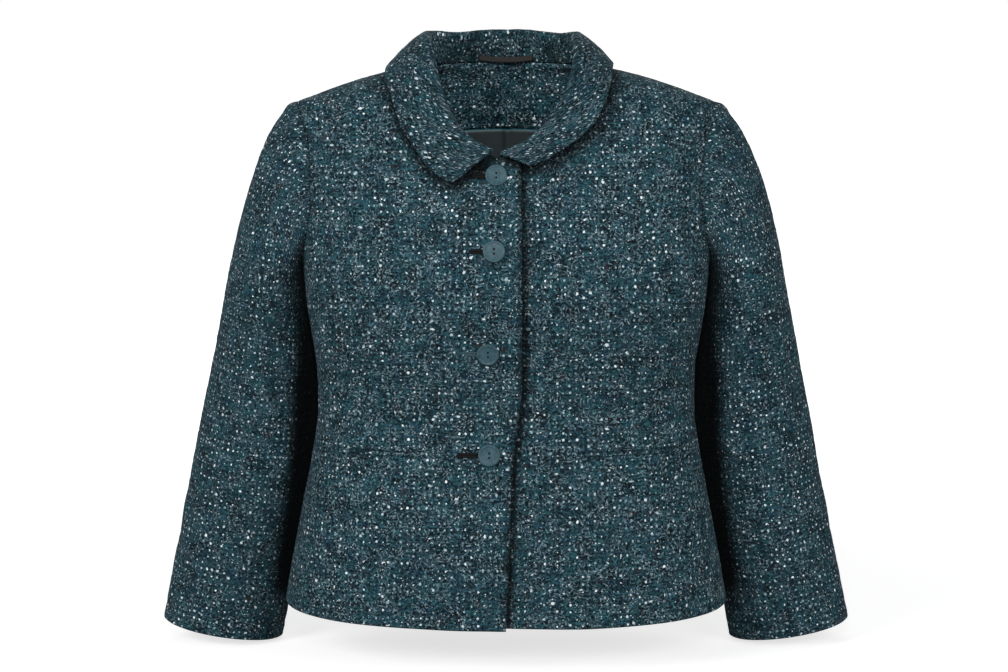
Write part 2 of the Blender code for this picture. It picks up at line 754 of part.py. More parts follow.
def make_loop(name):
    x = np.linspace(-LOOP_HALF_LENGTH, LOOP_HALF_LENGTH, LOOP_POINTS)
    middle = 1 - (x / LOOP_HALF_LENGTH) ** 2
    depth = CLOTH + LAYER_GAP + FACING + LOOP_CLEAR * (1 + middle)
    skins = ([], [])
    for edge in (-1, 1):
        z = LOOP_MID - LOOP_DROOP * middle + edge * LOOP_HEIGHT / 2
        flat = surface_points(x, np.minimum(z, 0.0), 1)
        for skin, more in zip(skins, (0.0, LOOP_TAPE)):
            row = flat.copy()
            row[:, 1] -= depth + more
            row[:, 2] = z
            skin.append(row)
    wall(name, np.array(skins[0]), np.array(skins[1]), "tape")


# Pocket mouths and buttons


def make_pocket(name, side):
    """Two lips with a slit between them, following the front panel they lie on."""
    x = side * (POCKET_MID_X + np.linspace(-POCKET_HALF_LENGTH, POCKET_HALF_LENGTH, POCKET_POINTS))
    heights = np.array([-POCKET_HALF_HEIGHT, -POCKET_SLIT, 0.0, POCKET_SLIT, POCKET_HALF_HEIGHT])
    lips = np.where(heights == 0.0, POCKET_LIP - POCKET_SLIT, POCKET_LIP)
    grid = np.array([surface_points(x, np.full_like(x, POCKET_MID_HEIGHT + h), -1) for h in heights])
    normals = surface_normal(grid)
    relief = flare_relief(grid, -1) + 2 * SEAM
    if side < 0:
        relief = relief + lap_lift(grid[..., 0])
    under = grid + normals * relief[..., None]
    under[..., 1] -= SEAM / 2
    wall(name, under + normals * lips[:, None, None], under, "tweed")


def circle(bm, radius, height, y, sides):
    """Edges of a level circle."""
    place = Matrix.Translation((0.0, y, height))
    made = bmesh.ops.create_circle(bm, radius=radius, segments=sides, matrix=place)
    return sorted({edge for vert in made["verts"] for edge in vert.link_edges}, key=lambda edge: edge.index)


def button_mesh(name):
    """Turned disc with a raised rim round a shallow dish, and two holes through it."""
    soft = BUTTON_SOFT_EDGE
    rim_in = BUTTON_RADIUS - BUTTON_RIM
    floor = BUTTON_THICKNESS - BUTTON_DISH
    profile = (
        (BUTTON_RADIUS - soft, 0.0),
        (BUTTON_RADIUS, soft),
        (BUTTON_RADIUS, BUTTON_THICKNESS - soft),
        (BUTTON_RADIUS - soft, BUTTON_THICKNESS),
        (rim_in, BUTTON_THICKNESS - soft / 2),
        (rim_in - BUTTON_DISH, floor),
    )
    bm = bmesh.new()
    loops = [circle(bm, radius, height, 0.0, BUTTON_SIDES) for radius, height in profile]
    for low, high in zip(loops, loops[1:]):
        bmesh.ops.bridge_loops(bm, edges=low + high)
    caps = [list(loops[0]), list(loops[-1])]
    for y in (-BUTTON_HOLE_OFFSET, BUTTON_HOLE_OFFSET):
        ends = [circle(bm, BUTTON_HOLE_RADIUS, height, y, HOLE_SIDES) for height in (0.0, floor)]
        bmesh.ops.bridge_loops(bm, edges=ends[0] + ends[1])
        for cap, end in zip(caps, ends):
            cap += end
    for cap in caps:
        bmesh.ops.triangle_fill(bm, edges=cap, use_beauty=True)
    return finish(name, bm, "button")


def make_buttons():
    for number, (x, z) in enumerate(BUTTONS, 1):
        foot = surface_points(x, z, -1)
        normal = surface_normal(foot)
        made = button_mesh(f"button_{number}")
        made.location = foot + normal * (LAP_LIFT + BUTTON_STANDOFF)
        made.rotation_euler = (math.acos(normal[2]), 0.0, math.atan2(normal[0], -normal[1]))


for old in list(bpy.data.objects):
    bpy.data.objects.remove(old, do_unlink=True)

jacket = bpy.data.objects.new("jacket", None)
bpy.context.scene.collection.objects.link(jacket)

right_front = make_front("front_right", -1)
left_front = make_front("front_left", 1)
back_panel = make_back("back")
back_outer, back_normals, back_flat = back_panel
make_sleeve("sleeve_right", -1, right_front[0], back_outer)
make_sleeve("sleeve_left", 1, left_front[0], back_outer)
make_collar("collar", right_front[1], left_front[1], back_flat)
make_facing("back_neck_facing", (back_outer, back_normals))
make_lining("back_lining", (back_outer, back_normals))
make_loop("hanger_loop")
make_pocket("pocket_mouth_right", -1)
make_pocket("pocket_mouth_left", 1)
make_buttons()
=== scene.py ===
import math

import bmesh
import bpy
import numpy as np
from mathutils import Matrix, Vector


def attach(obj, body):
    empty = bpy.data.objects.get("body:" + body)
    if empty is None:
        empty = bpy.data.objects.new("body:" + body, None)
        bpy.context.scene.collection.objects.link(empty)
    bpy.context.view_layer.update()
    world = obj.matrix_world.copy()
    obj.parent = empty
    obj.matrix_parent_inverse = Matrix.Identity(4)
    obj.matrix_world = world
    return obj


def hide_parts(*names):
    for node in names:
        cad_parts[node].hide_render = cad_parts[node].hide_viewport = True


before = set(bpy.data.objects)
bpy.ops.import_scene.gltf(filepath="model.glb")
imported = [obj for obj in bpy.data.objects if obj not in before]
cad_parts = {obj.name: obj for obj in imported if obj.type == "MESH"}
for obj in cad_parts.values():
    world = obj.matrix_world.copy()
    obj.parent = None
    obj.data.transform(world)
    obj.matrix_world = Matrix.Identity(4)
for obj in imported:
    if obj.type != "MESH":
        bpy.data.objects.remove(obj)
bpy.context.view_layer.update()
print("frame loaded:", len(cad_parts), "nodes")

# Metres throughout, +Z up, front towards -Y, right and left are the wearer's.

cloth = {
    "tweed": 0.0026,  # wall of the shell
    "seam": 0.0003,  # gap between panels
    "layerGap": 0.0010,
    "step": 0.0024,  # spacing of the points on a sheet
    "closeLine": 0.0008,  # from an edge to the line of points beside it
    "edgeRound": 0.0013,  # how far a free edge turns under
    "seamRound": 0.0004,  # and a sewn one
    "edgeThin": 0.25,  # share of the wall left at the very edge
    "bolt": 0.6,  # distance between panels on the roll of cloth
}
levels = {
    "hem": -0.508,
    "underarm": -0.185,
    "shoulderTip": -0.036,
    "frontNeck": -0.083,
    "waist": -0.305,
    "frontHemDip": 0.008,
    "backHemDip": 0.004,
    "underlapRise": 0.002,
    "neckHalfWidth": 0.075,
    "neckShift": -0.009,
    "neckStart": 1 / 7,  # share of the front neck curve below the collar's end
}
lap = {"lift": 0.0036, "full": 0.042, "start": 0.085, "cornerDrop": 0.006, "underlap": 0.030}
linePoints = {  # on lines that are spaced again afterwards
    "ridge": 241,
    "level": 181,
    "armhole": 361,
    "frontNeck": (361, 120),  # before and after its first spacing
    "collarNeck": (181, 160),
    "backNeck": 181,
    "toSeam": 20,
    "facing": 90,
}

# height, half width, front depth, back depth, squareness
bodyLevels = np.array((
    (0.0040, 0.0550, 0.028, 0.060, 2.00),
    (0.0000, 0.0750, 0.034, 0.064, 2.00),
    (-0.0077, 0.1140, 0.044, 0.070, 2.00),
    (-0.0170, 0.1465, 0.053, 0.075, 2.05),
    (-0.0287, 0.1785, 0.060, 0.079, 2.20),
    (-0.0360, 0.1960, 0.063, 0.081, 2.35),
    (-0.0450, 0.1985, 0.067, 0.084, 2.60),
    (-0.0600, 0.1985, 0.072, 0.088, 2.90),
    (-0.0850, 0.1975, 0.081, 0.094, 3.20),
    (-0.1200, 0.1960, 0.094, 0.101, 3.30),
    (-0.1500, 0.1940, 0.105, 0.105, 3.30),
    (-0.1850, 0.1910, 0.115, 0.107, 3.20),
    (-0.2150, 0.1880, 0.118, 0.105, 3.10),
    (-0.2500, 0.1835, 0.113, 0.100, 3.00),
    (-0.2900, 0.1785, 0.104, 0.094, 2.90),
    (-0.3200, 0.1780, 0.101, 0.092, 2.80),
    (-0.3700, 0.1845, 0.104, 0.097, 2.80),
    (-0.4200, 0.1945, 0.110, 0.104, 2.80),
    (-0.4700, 0.2035, 0.116, 0.110, 2.80),
    (-0.5300, 0.2145, 0.121, 0.114, 2.80),
))
# height, front x, back x of the armhole edge
armholeLevels = np.array((
    (-0.0360, 0.1960, 0.1960),
    (-0.0450, 0.1930, 0.1952),
    (-0.0600, 0.1880, 0.1935),
    (-0.0900, 0.1828, 0.1900),
    (-0.1200, 0.1812, 0.1880),
    (-0.1500, 0.1835, 0.1885),
    (-0.1700, 0.1885, 0.1900),
    (-0.1850, 0.1910, 0.1910),
))
# height and x of the lapping edge
lapLevels = np.array((
    (-0.083, 0.0135),
    (-0.200, 0.0147),
    (-0.295, 0.0145),
    (-0.330, 0.0108),
    (-0.367, 0.0064),
    (-0.435, 0.0034),
    (-0.525, -0.0010),
))


def hermite(start, end, leave, arrive, t):
    rise = end - start
    bend = 3 * rise - 2 * leave - arrive + t * (leave + arrive - 2 * rise)
    return start + t * (leave + t * bend)


def curveThrough(xs, ys):  # smooth, and never past the table's own values
    order = np.argsort(xs)
    xs, ys = np.asarray(xs, float)[order], np.asarray(ys, float)[order]
    gaps = np.diff(xs)
    slopes = np.diff(ys) / gaps
    before, after = slopes[:-1], slopes[1:]
    sameWay = before * after > 0
    inner = 2 * before * after / np.where(sameWay, before + after, 1.0)
    tangents = np.concatenate([slopes[:1], np.where(sameWay, inner, 0.0), slopes[-1:]])

    def curve(x):
        x = np.clip(x, xs[0], xs[-1])
        k = np.clip(np.searchsorted(xs, x, side="right") - 1, 0, len(gaps) - 1)
        gap = gaps[k]
        t = (x - xs[k]) / gap
        return hermite(ys[k], ys[k + 1], tangents[k] * gap, tangents[k + 1] * gap, t)

    return curve


def tableCurves(table):  # each later column as a curve over the first
    return [curveThrough(table[:, 0], column) for column in table[:, 1:].T]


halfWidth, frontDepth, backDepth, squareness = tableCurves(bodyLevels)
armholeFront, armholeBack = tableCurves(armholeLevels)
lapEdge = tableCurves(lapLevels)[0]
depthOf = {-1: frontDepth, 1: backDepth}  # by facing, -1 for the front and 1 for the back
armholeOf = {-1: armholeFront, 1: armholeBack}


def ease(t):
    t = np.clip(t, 0.0, 1.0)
    return t * t * (3 - 2 * t)


def hump(off, width):  # bell shape, 1 in the middle
    return np.exp(-((off / width) ** 2))


def darker(distance, dark):  # light left beside an edge; dark is depth and width
    return 1 - dark[0] * hump(distance, dark[1])


def slowing(count):  # from 0 to 1 with ever shorter steps
    return 1 - (1 - np.linspace(0.0, 1.0, count)) ** 2


def unit(vectors):
    vectors = np.asarray(vectors, float)
    return vectors / np.maximum(np.linalg.norm(vectors, axis=-1, keepdims=True), 1e-12)


def lifted(points, normals, height):
    return points + normals * height[..., None]


def arcAlong(points, axis):  # distance travelled along rows or columns of points
    steps = np.linalg.norm(np.diff(points, axis=axis), axis=-1)
    pad = [(0, 0)] * steps.ndim
    pad[axis] = (1, 0)
    return np.pad(np.cumsum(steps, axis=axis), pad)


def pointsAt(wanted, along, points):  # points of a line at distances along it
    return np.stack([np.interp(wanted, along, column) for column in points.T], axis=1)


def evenly(points, shares):  # points at the given shares of a line's length
    along = arcAlong(points, 0)
    return pointsAt(np.asarray(shares) * along[-1], along, points)


def byLength(dense, shares):  # each column again at shares of its own length
    return np.stack([evenly(dense[:, c], shares) for c in range(dense.shape[1])], axis=1)


def edgeShares(length, step=None):  # even shares with one closer line beside each edge
    count = max(4, int(math.ceil(length / (step or cloth["step"]))))
    shares = np.linspace(0.0, 1.0, count + 1)
    close = min(cloth["closeLine"] / length, 0.4 / count)
    return np.concatenate([[0.0, close], shares[1:-1], [1 - close, 1.0]])


def surfaceY(x, z, facing):
    power = squareness(z)
    left = np.clip(1 - (np.abs(x) / halfWidth(z)) ** power, 0.0, 1.0)
    return facing * depthOf[facing](z) * left ** (1 / power)


def bodyField(points):
    x, y, z = points[..., 0], points[..., 1], points[..., 2]
    depth = np.where(y < 0, frontDepth(z), backDepth(z))
    power = squareness(z)
    return (np.abs(x) / halfWidth(z)) ** power + (np.abs(y) / depth) ** power - 1


def bodySlope(points, step=1e-4):
    def change(shift):
        return (bodyField(points + shift) - bodyField(points - shift)) / (2 * step)

    return np.stack([change(shift) for shift in np.eye(3) * step], axis=-1)


def bodyNormal(points):
    return unit(bodySlope(np.asarray(points, float)))


def dropToBody(points, rounds):  # move points straight onto the body
    for _ in range(rounds):
        slope = bodySlope(points)
        points = points - slope * (bodyField(points) / np.sum(slope * slope, axis=1))[:, None]
    return points


def onBody(x, z, facing):
    x, z = np.broadcast_arrays(np.asarray(x, float), np.asarray(z, float))
    return np.stack([x, surfaceY(x, z, facing), z], axis=-1)


def ridgeHeight(x):  # height of the shoulder seam above x
    heights = np.linspace(levels["shoulderTip"], 0.0, linePoints["ridge"])
    return np.interp(np.abs(x), halfWidth(heights)[::-1], heights[::-1])


def levelRow(z, xFrom, xTo, shares, facing):  # x at shares of the way along one level
    width, power = float(halfWidth(z)), float(squareness(z))

    def angleAt(x):
        return math.copysign(math.asin(min(1.0, abs(x) / width) ** (power / 2)), x)

    turn = np.sin(np.linspace(angleAt(xFrom), angleAt(xTo), linePoints["level"]))
    x = np.sign(turn) * width * np.abs(turn) ** (2 / power)
    return evenly(np.stack([x, surfaceY(x, np.full_like(x, z), facing)], axis=1), shares)[:, 0]


def armholeLine(facing, shares):  # wearer's left, from the underarm up to the shoulder tip
    climb = (1 - np.cos(np.linspace(0.0, math.pi, linePoints["armhole"]))) / 2
    z = levels["underarm"] + (levels["shoulderTip"] - levels["underarm"]) * climb
    points = onBody(armholeOf[facing](z), z, facing)
    points[0, 1] = points[-1, 1] = 0.0
    return evenly(points, shares)


def frontEdge(z, side):  # x of a front's own edge, as if on the wearer's left
    return -float(lapEdge(z)) if side < 0 else -lap["underlap"]


def frontNeckLine(side, steps, count):  # neck seam of a front, up to the shoulder
    angle = np.linspace(0.0, math.pi / 2, steps)
    width = levels["neckHalfWidth"] - side * levels["neckShift"]
    x = levels["neckShift"] + side * width * np.sin(angle)
    line = onBody(x, levels["frontNeck"] * np.cos(angle), -1)
    return evenly(line, np.linspace(levels["neckStart"], 1.0, count))


def lapLift(x):
    return lap["lift"] * ease((lap["start"] + x) / (lap["start"] - lap["full"]))


weaveGrid = {"below": 0.03, "above": 0.004, "levels": 270, "turns": 200, "threads": 160}


def weaveTable(facing):  # distance across each level from the middle, and up along the warp
    grid = weaveGrid
    z = np.linspace(levels["hem"] - grid["below"], grid["above"], grid["levels"])
    turn = math.pi / 2 * np.linspace(0.0, 1.0, grid["turns"]) ** 1.5  # even near the middle
    power = squareness(z)[:, None]
    x = halfWidth(z)[:, None] * np.sin(turn) ** (2 / power)
    y = depthOf[facing](z)[:, None] * np.cos(turn) ** (2 / power)
    across = arcAlong(np.stack([x, y], axis=-1), 1)
    even = np.linspace(0.0, across.max(), grid["threads"])
    rows = [[np.interp(even, a, b) for a, b in zip(across, part)] for part in (x, y)]
    heights = np.repeat(z[:, None], len(even), axis=1)
    return z, turn, across, even, arcAlong(np.stack([*rows, heights], axis=-1), 0)


weaveTables = {facing: weaveTable(facing) for facing in (-1, 1)}


def between(table, row, col):  # value in a table at places between its entries
    i = np.clip(row.astype(int), 0, table.shape[0] - 2)
    j = np.clip(col.astype(int), 0, table.shape[1] - 2)
    a, b = np.clip(row - i, 0.0, 1.0), np.clip(col - j, 0.0, 1.0)
    low = table[i, j] * (1 - b) + table[i, j + 1] * b
    high = table[i + 1, j] * (1 - b) + table[i + 1, j + 1] * b
    return low * (1 - a) + high * a


def weavePlace(points, facing, seed):  # where each point lies on the cloth it was cut from
    z, turn, across, even, up = weaveTables[facing]
    x, height = points[..., 0], points[..., 2]
    row = (height - z[0]) / (z[1] - z[0])
    share = np.clip(np.abs(x) / halfWidth(height), 0.0, 1.0)
    angle = np.arcsin(share ** (squareness(height) / 2))
    u = between(across, row, (angle / (math.pi / 2)) ** (2 / 3) * (len(turn) - 1))
    v = between(up, row, u / (even[1] - even[0]))
    return np.stack([np.sign(x) * u + seed * cloth["bolt"], v], axis=-1)


# Uneven cloth: nubs of the yarn, slow waves and creases placed one by one

nubs = {  # size, depth, and distance from an edge in which they fade
    "fine": (0.0052, 0.00034, 0.004),
    "yarn": (0.0031, 0.00016, 0.004),
    "wave": (0.048, 0.0007, 0.03),
    "slow": (0.11, 0.0009, 0.03),
}
creaseForm = {
    "bow": 0.12,  # share of its length that a crease bends aside
    "fade": 0.35,  # share of its length at each end
    "bankAway": 1.9,  # half widths from the trough to the banks beside it
    "banks": (0.55, 0.35),
}


def clothNoise(u, v, size, seed):  # smooth noise from -1 to 1 with bumps of one size
    draw = np.random.default_rng(seed)
    gu, gv = (u - u.min()) / size, (v - v.min()) / size
    lattice = draw.uniform(-1.0, 1.0, (int(gu.max()) + 3, int(gv.max()) + 3))
    iu, iv = gu.astype(int), gv.astype(int)
    fu, fv = ease(gu - iu), ease(gv - iv)
    low = lattice[iu, iv] * (1 - fu) + lattice[iu + 1, iv] * fu
    high = lattice[iu, iv + 1] * (1 - fu) + lattice[iu + 1, iv + 1] * fu
    return low * (1 - fv) + high * fv


def unevenness(u, v, edge, seed, share=1.0):
    relief = np.zeros_like(u)
    for number, (size, depth, fade) in enumerate(nubs.values()):
        noise = clothNoise(u, v, size, seed * 10 + number)
        relief += share * depth * ease(edge / fade) * noise
    return relief


def creaseRelief(points, creases):  # each crease: x0, z0, x1, z1, half width, depth
    form = creaseForm
    relief = np.zeros(points.shape[:-1])
    for x0, z0, x1, z1, width, depth in creases:
        length = math.hypot(x1 - x0, z1 - z0)
        goX, goZ = (x1 - x0) / length, (z1 - z0) / length
        x, z = points[..., 0] - x0, points[..., 2] - z0
        t = (x * goX + z * goZ) / length
        off = z * goX - x * goZ - form["bow"] * length * (t - t * t)
        fade = ease(t / form["fade"]) * ease((1 - t) / form["fade"])
        for bank, side in zip(form["banks"], (1, -1)):
            relief += depth * fade * bank * hump(off - side * form["bankAway"] * width, width)
        relief -= depth * fade * hump(off, width)
    return relief


def turnedEdge(u, v, low="edge", high="seam", inner="edge", outer="seam"):  # drop at the edges
    drop = np.zeros_like(u)
    for kind, distance in ((low, v), (high, v[-1:] - v), (inner, u), (outer, u[:, -1:] - u)):
        if kind:
            radius = cloth[kind + "Round"]
            inside = np.clip(radius - distance, 0.0, radius)
            drop = np.maximum(drop, radius - np.sqrt(radius**2 - inside**2))
    return drop


def edgeDistance(points, tube=False):
    u, v = arcAlong(points, 1), arcAlong(points, 0)
    distance = np.minimum(v, v[-1:] - v)
    if not tube:
        distance = np.minimum(distance, np.minimum(u, u[:, -1:] - u))
    return u, v, distance


# Materials; a node goes in the tree that its inputs come from


def addNode(kind, inputs=None, tree=None, **settings):
    inputs = inputs or {}
    linked = [key for key, value in inputs.items() if isinstance(value, bpy.types.NodeSocket)]
    if tree is None:
        tree = inputs[linked[0]].id_data
    node = tree.nodes.new(kind)
    for name, value in settings.items():
        setattr(node, name, value)
    for key, value in inputs.items():
        if key in linked:
            tree.links.new(value, node.inputs[key])
        else:
            node.inputs[key].default_value = value
    return node


def calc(operation, *values):
    return addNode("ShaderNodeMath", dict(enumerate(values)), operation=operation).outputs[0]


def times(a, b):
    return calc("MULTIPLY", a, b)


def plus(a, b):
    return calc("ADD", a, b)


def minus(a, b):
    return calc("SUBTRACT", a, b)


def graded(value, gain, base):  # value times gain, plus base
    return plus(times(value, gain), base)


def moved(vector, by):
    return addNode("ShaderNodeVectorMath", {0: vector, 1: by}, operation="ADD").outputs[0]


def spread(vector, x, y):
    inputs = {0: vector, 1: (x, y, 0.0)}
    return addNode("ShaderNodeVectorMath", inputs, operation="MULTIPLY").outputs[0]


def blend(factor, a, b, mode="MIX"):
    settings = {"data_type": "RGBA", "blend_type": mode, "clamp_factor": True}
    return addNode("ShaderNodeMix", {0: factor, 6: a, 7: b}, **settings).outputs[2]


def stepUp(value, low, high, toLow=0.0, toHigh=1.0):
    inputs = {"Value": value, "From Min": low, "From Max": high, "To Min": toLow, "To Max": toHigh}
    return addNode("ShaderNodeMapRange", inputs, interpolation_type="SMOOTHSTEP").outputs[0]


def noiseAt(vector, scale, detail=1.0, roughness=0.5, dimensions="2D", distortion=0.0):
    inputs = {"Vector": vector, "Scale": scale, "Detail": detail, "Roughness": roughness}
    inputs["Distortion"] = distortion
    return addNode("ShaderNodeTexNoise", inputs, noise_dimensions=dimensions).outputs


def cellsAt(vector, randomness):
    inputs = {"Vector": vector, "Scale": 1.0, "Randomness": randomness}
    settings = {"voronoi_dimensions": "2D", "feature": "F1"}
    cells = addNode("ShaderNodeTexVoronoi", inputs, **settings).outputs
    return cells, addNode("ShaderNodeSeparateColor", {0: cells["Color"]}).outputs[:3]


def ribsAt(vector, scale, distortion):
    inputs = {"Vector": vector, "Scale": scale, "Distortion": distortion}
    settings = {"wave_type": "BANDS", "bands_direction": "DIAGONAL"}
    return addNode("ShaderNodeTexWave", inputs, **settings).outputs[1]


def linear(r, g, b):  # screen colour, 0 to 255, as a linear colour
    parts = [c / 255 for c in (r, g, b)]
    parts = [c / 12.92 if c <= 0.04045 else ((c + 0.055) / 1.055) ** 2.4 for c in parts]
    return (*parts, 1.0)


yarns = {
    "deep": linear(14, 29, 35),
    "teal": linear(25, 55, 63),
    "slate": linear(34, 54, 63),
    "navy": linear(18, 36, 50),
    # gap: near-black painted shade for the hollows between the yarns
    "gap": linear(4, 8, 11),
    "loop": linear(109, 134, 143),
    "loopTeal": linear(55, 97, 108),
    "knot": linear(130, 158, 167),
    "white": linear(222, 232, 235),
    "rust": linear(58, 38, 33),
}
tweedLook = {  # lengths in millimetres of cloth, noise scales in waves to the millimetre
    "drift": (0.085, 4.0),  # noise scale of the slow shift of the yarns, and how far it goes
    "shiver": (0.42, 1.6),
    "steady": 0.5,  # share of the slow shift that the knots follow
    "patches": {  # place, scale, detail, roughness, from and to, share
        "teal": ((0.0, 0.0, 0.0), 0.042, 2.0, 0.6, (0.38, 0.62), 1.0),
        "slate": ((310.0, 90.0, 0.0), 0.060, 2.0, 0.6, (0.44, 0.66), 0.8),
        "navy": ((70.0, 410.0, 0.0), 0.052, 2.0, 0.5, (0.52, 0.70), 0.7),
    },
    "weft": (0.075, 0.62, 1.5),  # scale across, scale up, detail
    "warp": (0.55, 0.07, 1.0),
    "gaps": (0.36, 0.46, 1.5),
    "weftLight": (0.32, 0.68, 0.50, 1.60),  # from and to in the noise, brightness at each
    "warpLight": (0.30, 0.70, -0.18, 0.18),
    "gapEdge": (0.50, 0.37),
    "gapShadeShare": 0.78,
    "loopHue": ((5.0, 77.0, 0.0), 0.07, 1.5, (0.42, 0.58)),  # place, scale, detail, from and to
    "loops": (  # pitch, half length, half width, place
        (3.2, 1.8, 0.52, (0.0, 0.0, 0.0)),
        (4.4, 2.4, 0.56, (41.0, 17.0, 0.0)),
    ),
    "loopShare": (1.6, 0.80, 0.12),  # power, gain and base of their brightness
    "loopOrder": 0.9,
    "loopCurl": (3.0, -1.5),  # gain and base
    "loopEdge": (1.25, 0.55),  # from nothing to full, in half widths
    "ragged": 0.22,  # how uneven the flecks are
    # for each kind of fleck: reach is gain and base of its radius, in pitches
    "knots": {"pitch": (5.9, 6.3), "reach": (0.120, 0.078), "soft": (-0.05, 0.04), "power": 2.0},
    "knotsThere": (0.18, 0.24),
    "knotShare": (0.62, 0.46),  # gain and base
    "knotWhite": 3.0,  # power; higher has fewer white ones
    "specks": {"pitch": (3.7, 3.3), "reach": (0.10, 0.06), "soft": (-0.05, 0.05)},
    "specksFrom": 0.80,
    "speckShare": (0.6, 0.25),
    "slubs": {"pitch": (23.0, 16.0), "reach": (0.050, 0.034), "soft": (-0.015, 0.03)},
    "slubRagged": 0.4,
    "slubShare": 0.92,
    "rust": {"pitch": (34.0, 30.0), "reach": (0.0, 0.0), "soft": (-0.24, -0.14)},
    "rustFrom": 0.6,
    "rustRagged": -0.25,
    "rustShare": 0.30,
    "relief": {"loops": 0.5, "knots": 0.5, "slubs": 0.8, "gaps": -0.6, "weft": 0.6},
    "sockets": {"Dots": 1.0, "Order": 0.4, "Slubs": 0.35, "Loops": 1.0, "Mottle": 1.0, "Tone": 1.0},
    "surface": {
        "Roughness": 0.9,
        "Specular IOR Level": 0.12,
        "Sheen Weight": 0.05,
        "Sheen Roughness": 0.45,
        "Sheen Tint": linear(150, 175, 182),
    },
    "bump": (0.55, 0.0009),
}


def loopStrokes(vector, pitch, halfLength, halfBreadth, place):  # curled strokes, one to a cell
    scaled = spread(moved(vector, place), 1 / pitch, 1 / pitch)
    cells, (turn, bright, bend) = cellsAt(scaled, tweedLook["loopOrder"])
    away = {0: scaled, 1: cells["Position"]}
    away = addNode("ShaderNodeVectorMath", away, operation="SUBTRACT").outputs[0]
    turned = {"Vector": away, "Angle": times(turn, 2 * math.pi)}
    turned = addNode("ShaderNodeVectorRotate", turned, rotation_type="Z_AXIS").outputs[0]
    along, off = addNode("ShaderNodeSeparateXYZ", {0: turned}).outputs[:2]
    curl = times(times(along, along), graded(bend, *tweedLook["loopCurl"]))
    off = calc("DIVIDE", plus(off, curl), halfBreadth / pitch)
    along = calc("DIVIDE", along, halfLength / pitch)
    reach = calc("SQRT", plus(times(along, along), times(off, off)))
    return stepUp(reach, *tweedLook["loopEdge"]), bright


def flecks(vector, order, ragged, pitch, reach, soft, power=1.0):  # round flecks, one to a cell
    cells, (first, size, last) = cellsAt(spread(vector, 1 / pitch[0], 1 / pitch[1]), order)
    radius = graded(calc("POWER", size, power), *reach)
    if ragged is not None:
        radius = plus(radius, ragged)
    return stepUp(minus(radius, cells["Distance"]), *soft), first, last


def tweedGroup():  # colour and relief of the cloth from its own millimetres
    look = tweedLook
    tree = bpy.data.node_groups.new("tweedCloth", "ShaderNodeTree")
    face = tree.interface
    face.new_socket("Cloth", in_out="INPUT", socket_type="NodeSocketVector")
    for name, value in look["sockets"].items():
        face.new_socket(name, in_out="INPUT", socket_type="NodeSocketFloat").default_value = value
    face.new_socket("Colour", in_out="OUTPUT", socket_type="NodeSocketColor")
    face.new_socket("Relief", in_out="OUTPUT", socket_type="NodeSocketFloat")
    given = tree.nodes.new("NodeGroupInput").outputs
    place = given["Cloth"]

    def drift(scale, far):
        return spread(moved(noiseAt(place, scale)["Color"], (-0.5, -0.5, -0.5)), far, far)

    shift = drift(*look["drift"])
    loose = moved(moved(place, shift), drift(*look["shiver"]))
    steady = moved(place, spread(shift, look["steady"], look["steady"]))

    def streaks(across, up, detail):
        return noiseAt(spread(loose, across, up), 1.0, detail)[0]

    # broad patches of yarn colour
    ground = yarns["deep"]
    for name, (start, scale, detail, roughness, reach, share) in look["patches"].items():
        patch = stepUp(noiseAt(moved(loose, start), scale, detail, roughness)[0], *reach)
        ground = blend(times(patch, share), ground, yarns[name])

    # weft and warp streaks, and painted shade in the gaps between the yarns
    weft, warp, gapNoise = [streaks(*look[name]) for name in ("weft", "warp", "gaps")]
    streak = plus(stepUp(weft, *look["weftLight"]), stepUp(warp, *look["warpLight"]))
    ground = blend(given["Mottle"], ground, blend(1.0, ground, streak, "MULTIPLY"))
    gap = stepUp(gapNoise, *look["gapEdge"])
    colour = blend(times(gap, look["gapShadeShare"]), ground, yarns["gap"])

    # curled loop yarn, in two layers
    start, scale, detail, reach = look["loopHue"]
    hue = stepUp(noiseAt(moved(loose, start), scale, detail)[0], *reach)
    loopColour = blend(hue, yarns["loop"], yarns["loopTeal"])
    power, gain, base = look["loopShare"]
    layers = []
    for layer in look["loops"]:
        stroke, bright = loopStrokes(loose, *layer)
        layers.append(times(stroke, graded(calc("POWER", bright, power), gain, base)))
        colour = blend(times(layers[-1], given["Loops"]), colour, loopColour)
    loops = calc("MAXIMUM", *layers)

    # rows of small knots, fine specks, sparse thick slubs and rust flecks
    ragged = times(minus(gapNoise, 0.5), look["ragged"])
    knot, bright, there = flecks(steady, given["Order"], ragged, **look["knots"])
    knot = times(knot, stepUp(there, *look["knotsThere"]))
    knotTone = blend(calc("POWER", bright, look["knotWhite"]), yarns["knot"], yarns["white"])
    strength = times(graded(bright, *look["knotShare"]), given["Dots"])
    colour = blend(times(knot, strength), colour, knotTone)

    speck, bright, there = flecks(loose, 1.0, None, **look["specks"])
    speck = times(speck, calc("GREATER_THAN", there, look["specksFrom"]))
    share = times(speck, graded(bright, *look["speckShare"]))
    colour = blend(times(share, given["Dots"]), colour, yarns["white"])

    slub, there, bright = flecks(loose, 1.0, times(ragged, look["slubRagged"]), **look["slubs"])
    slub = times(slub, calc("LESS_THAN", there, given["Slubs"]))
    slubTone = blend(bright, yarns["knot"], yarns["white"])
    colour = blend(times(slub, look["slubShare"]), colour, slubTone)

    rust, there, _last = flecks(loose, 1.0, times(gapNoise, look["rustRagged"]), **look["rust"])
    rust = times(rust, calc("GREATER_THAN", there, look["rustFrom"]))
    colour = blend(times(rust, look["rustShare"]), colour, yarns["rust"])
    toned = addNode("ShaderNodeHueSaturation", {"Value": given["Tone"], "Color": colour}).outputs[0]

    heights = {"loops": loops, "knots": knot, "slubs": slub, "gaps": gap, "weft": weft}
    relief = 0.0
    for name, gain in look["relief"].items():
        relief = graded(heights[name], gain, relief)
    addNode("NodeGroupOutput", {"Colour": toned, "Relief": relief})
    return tree


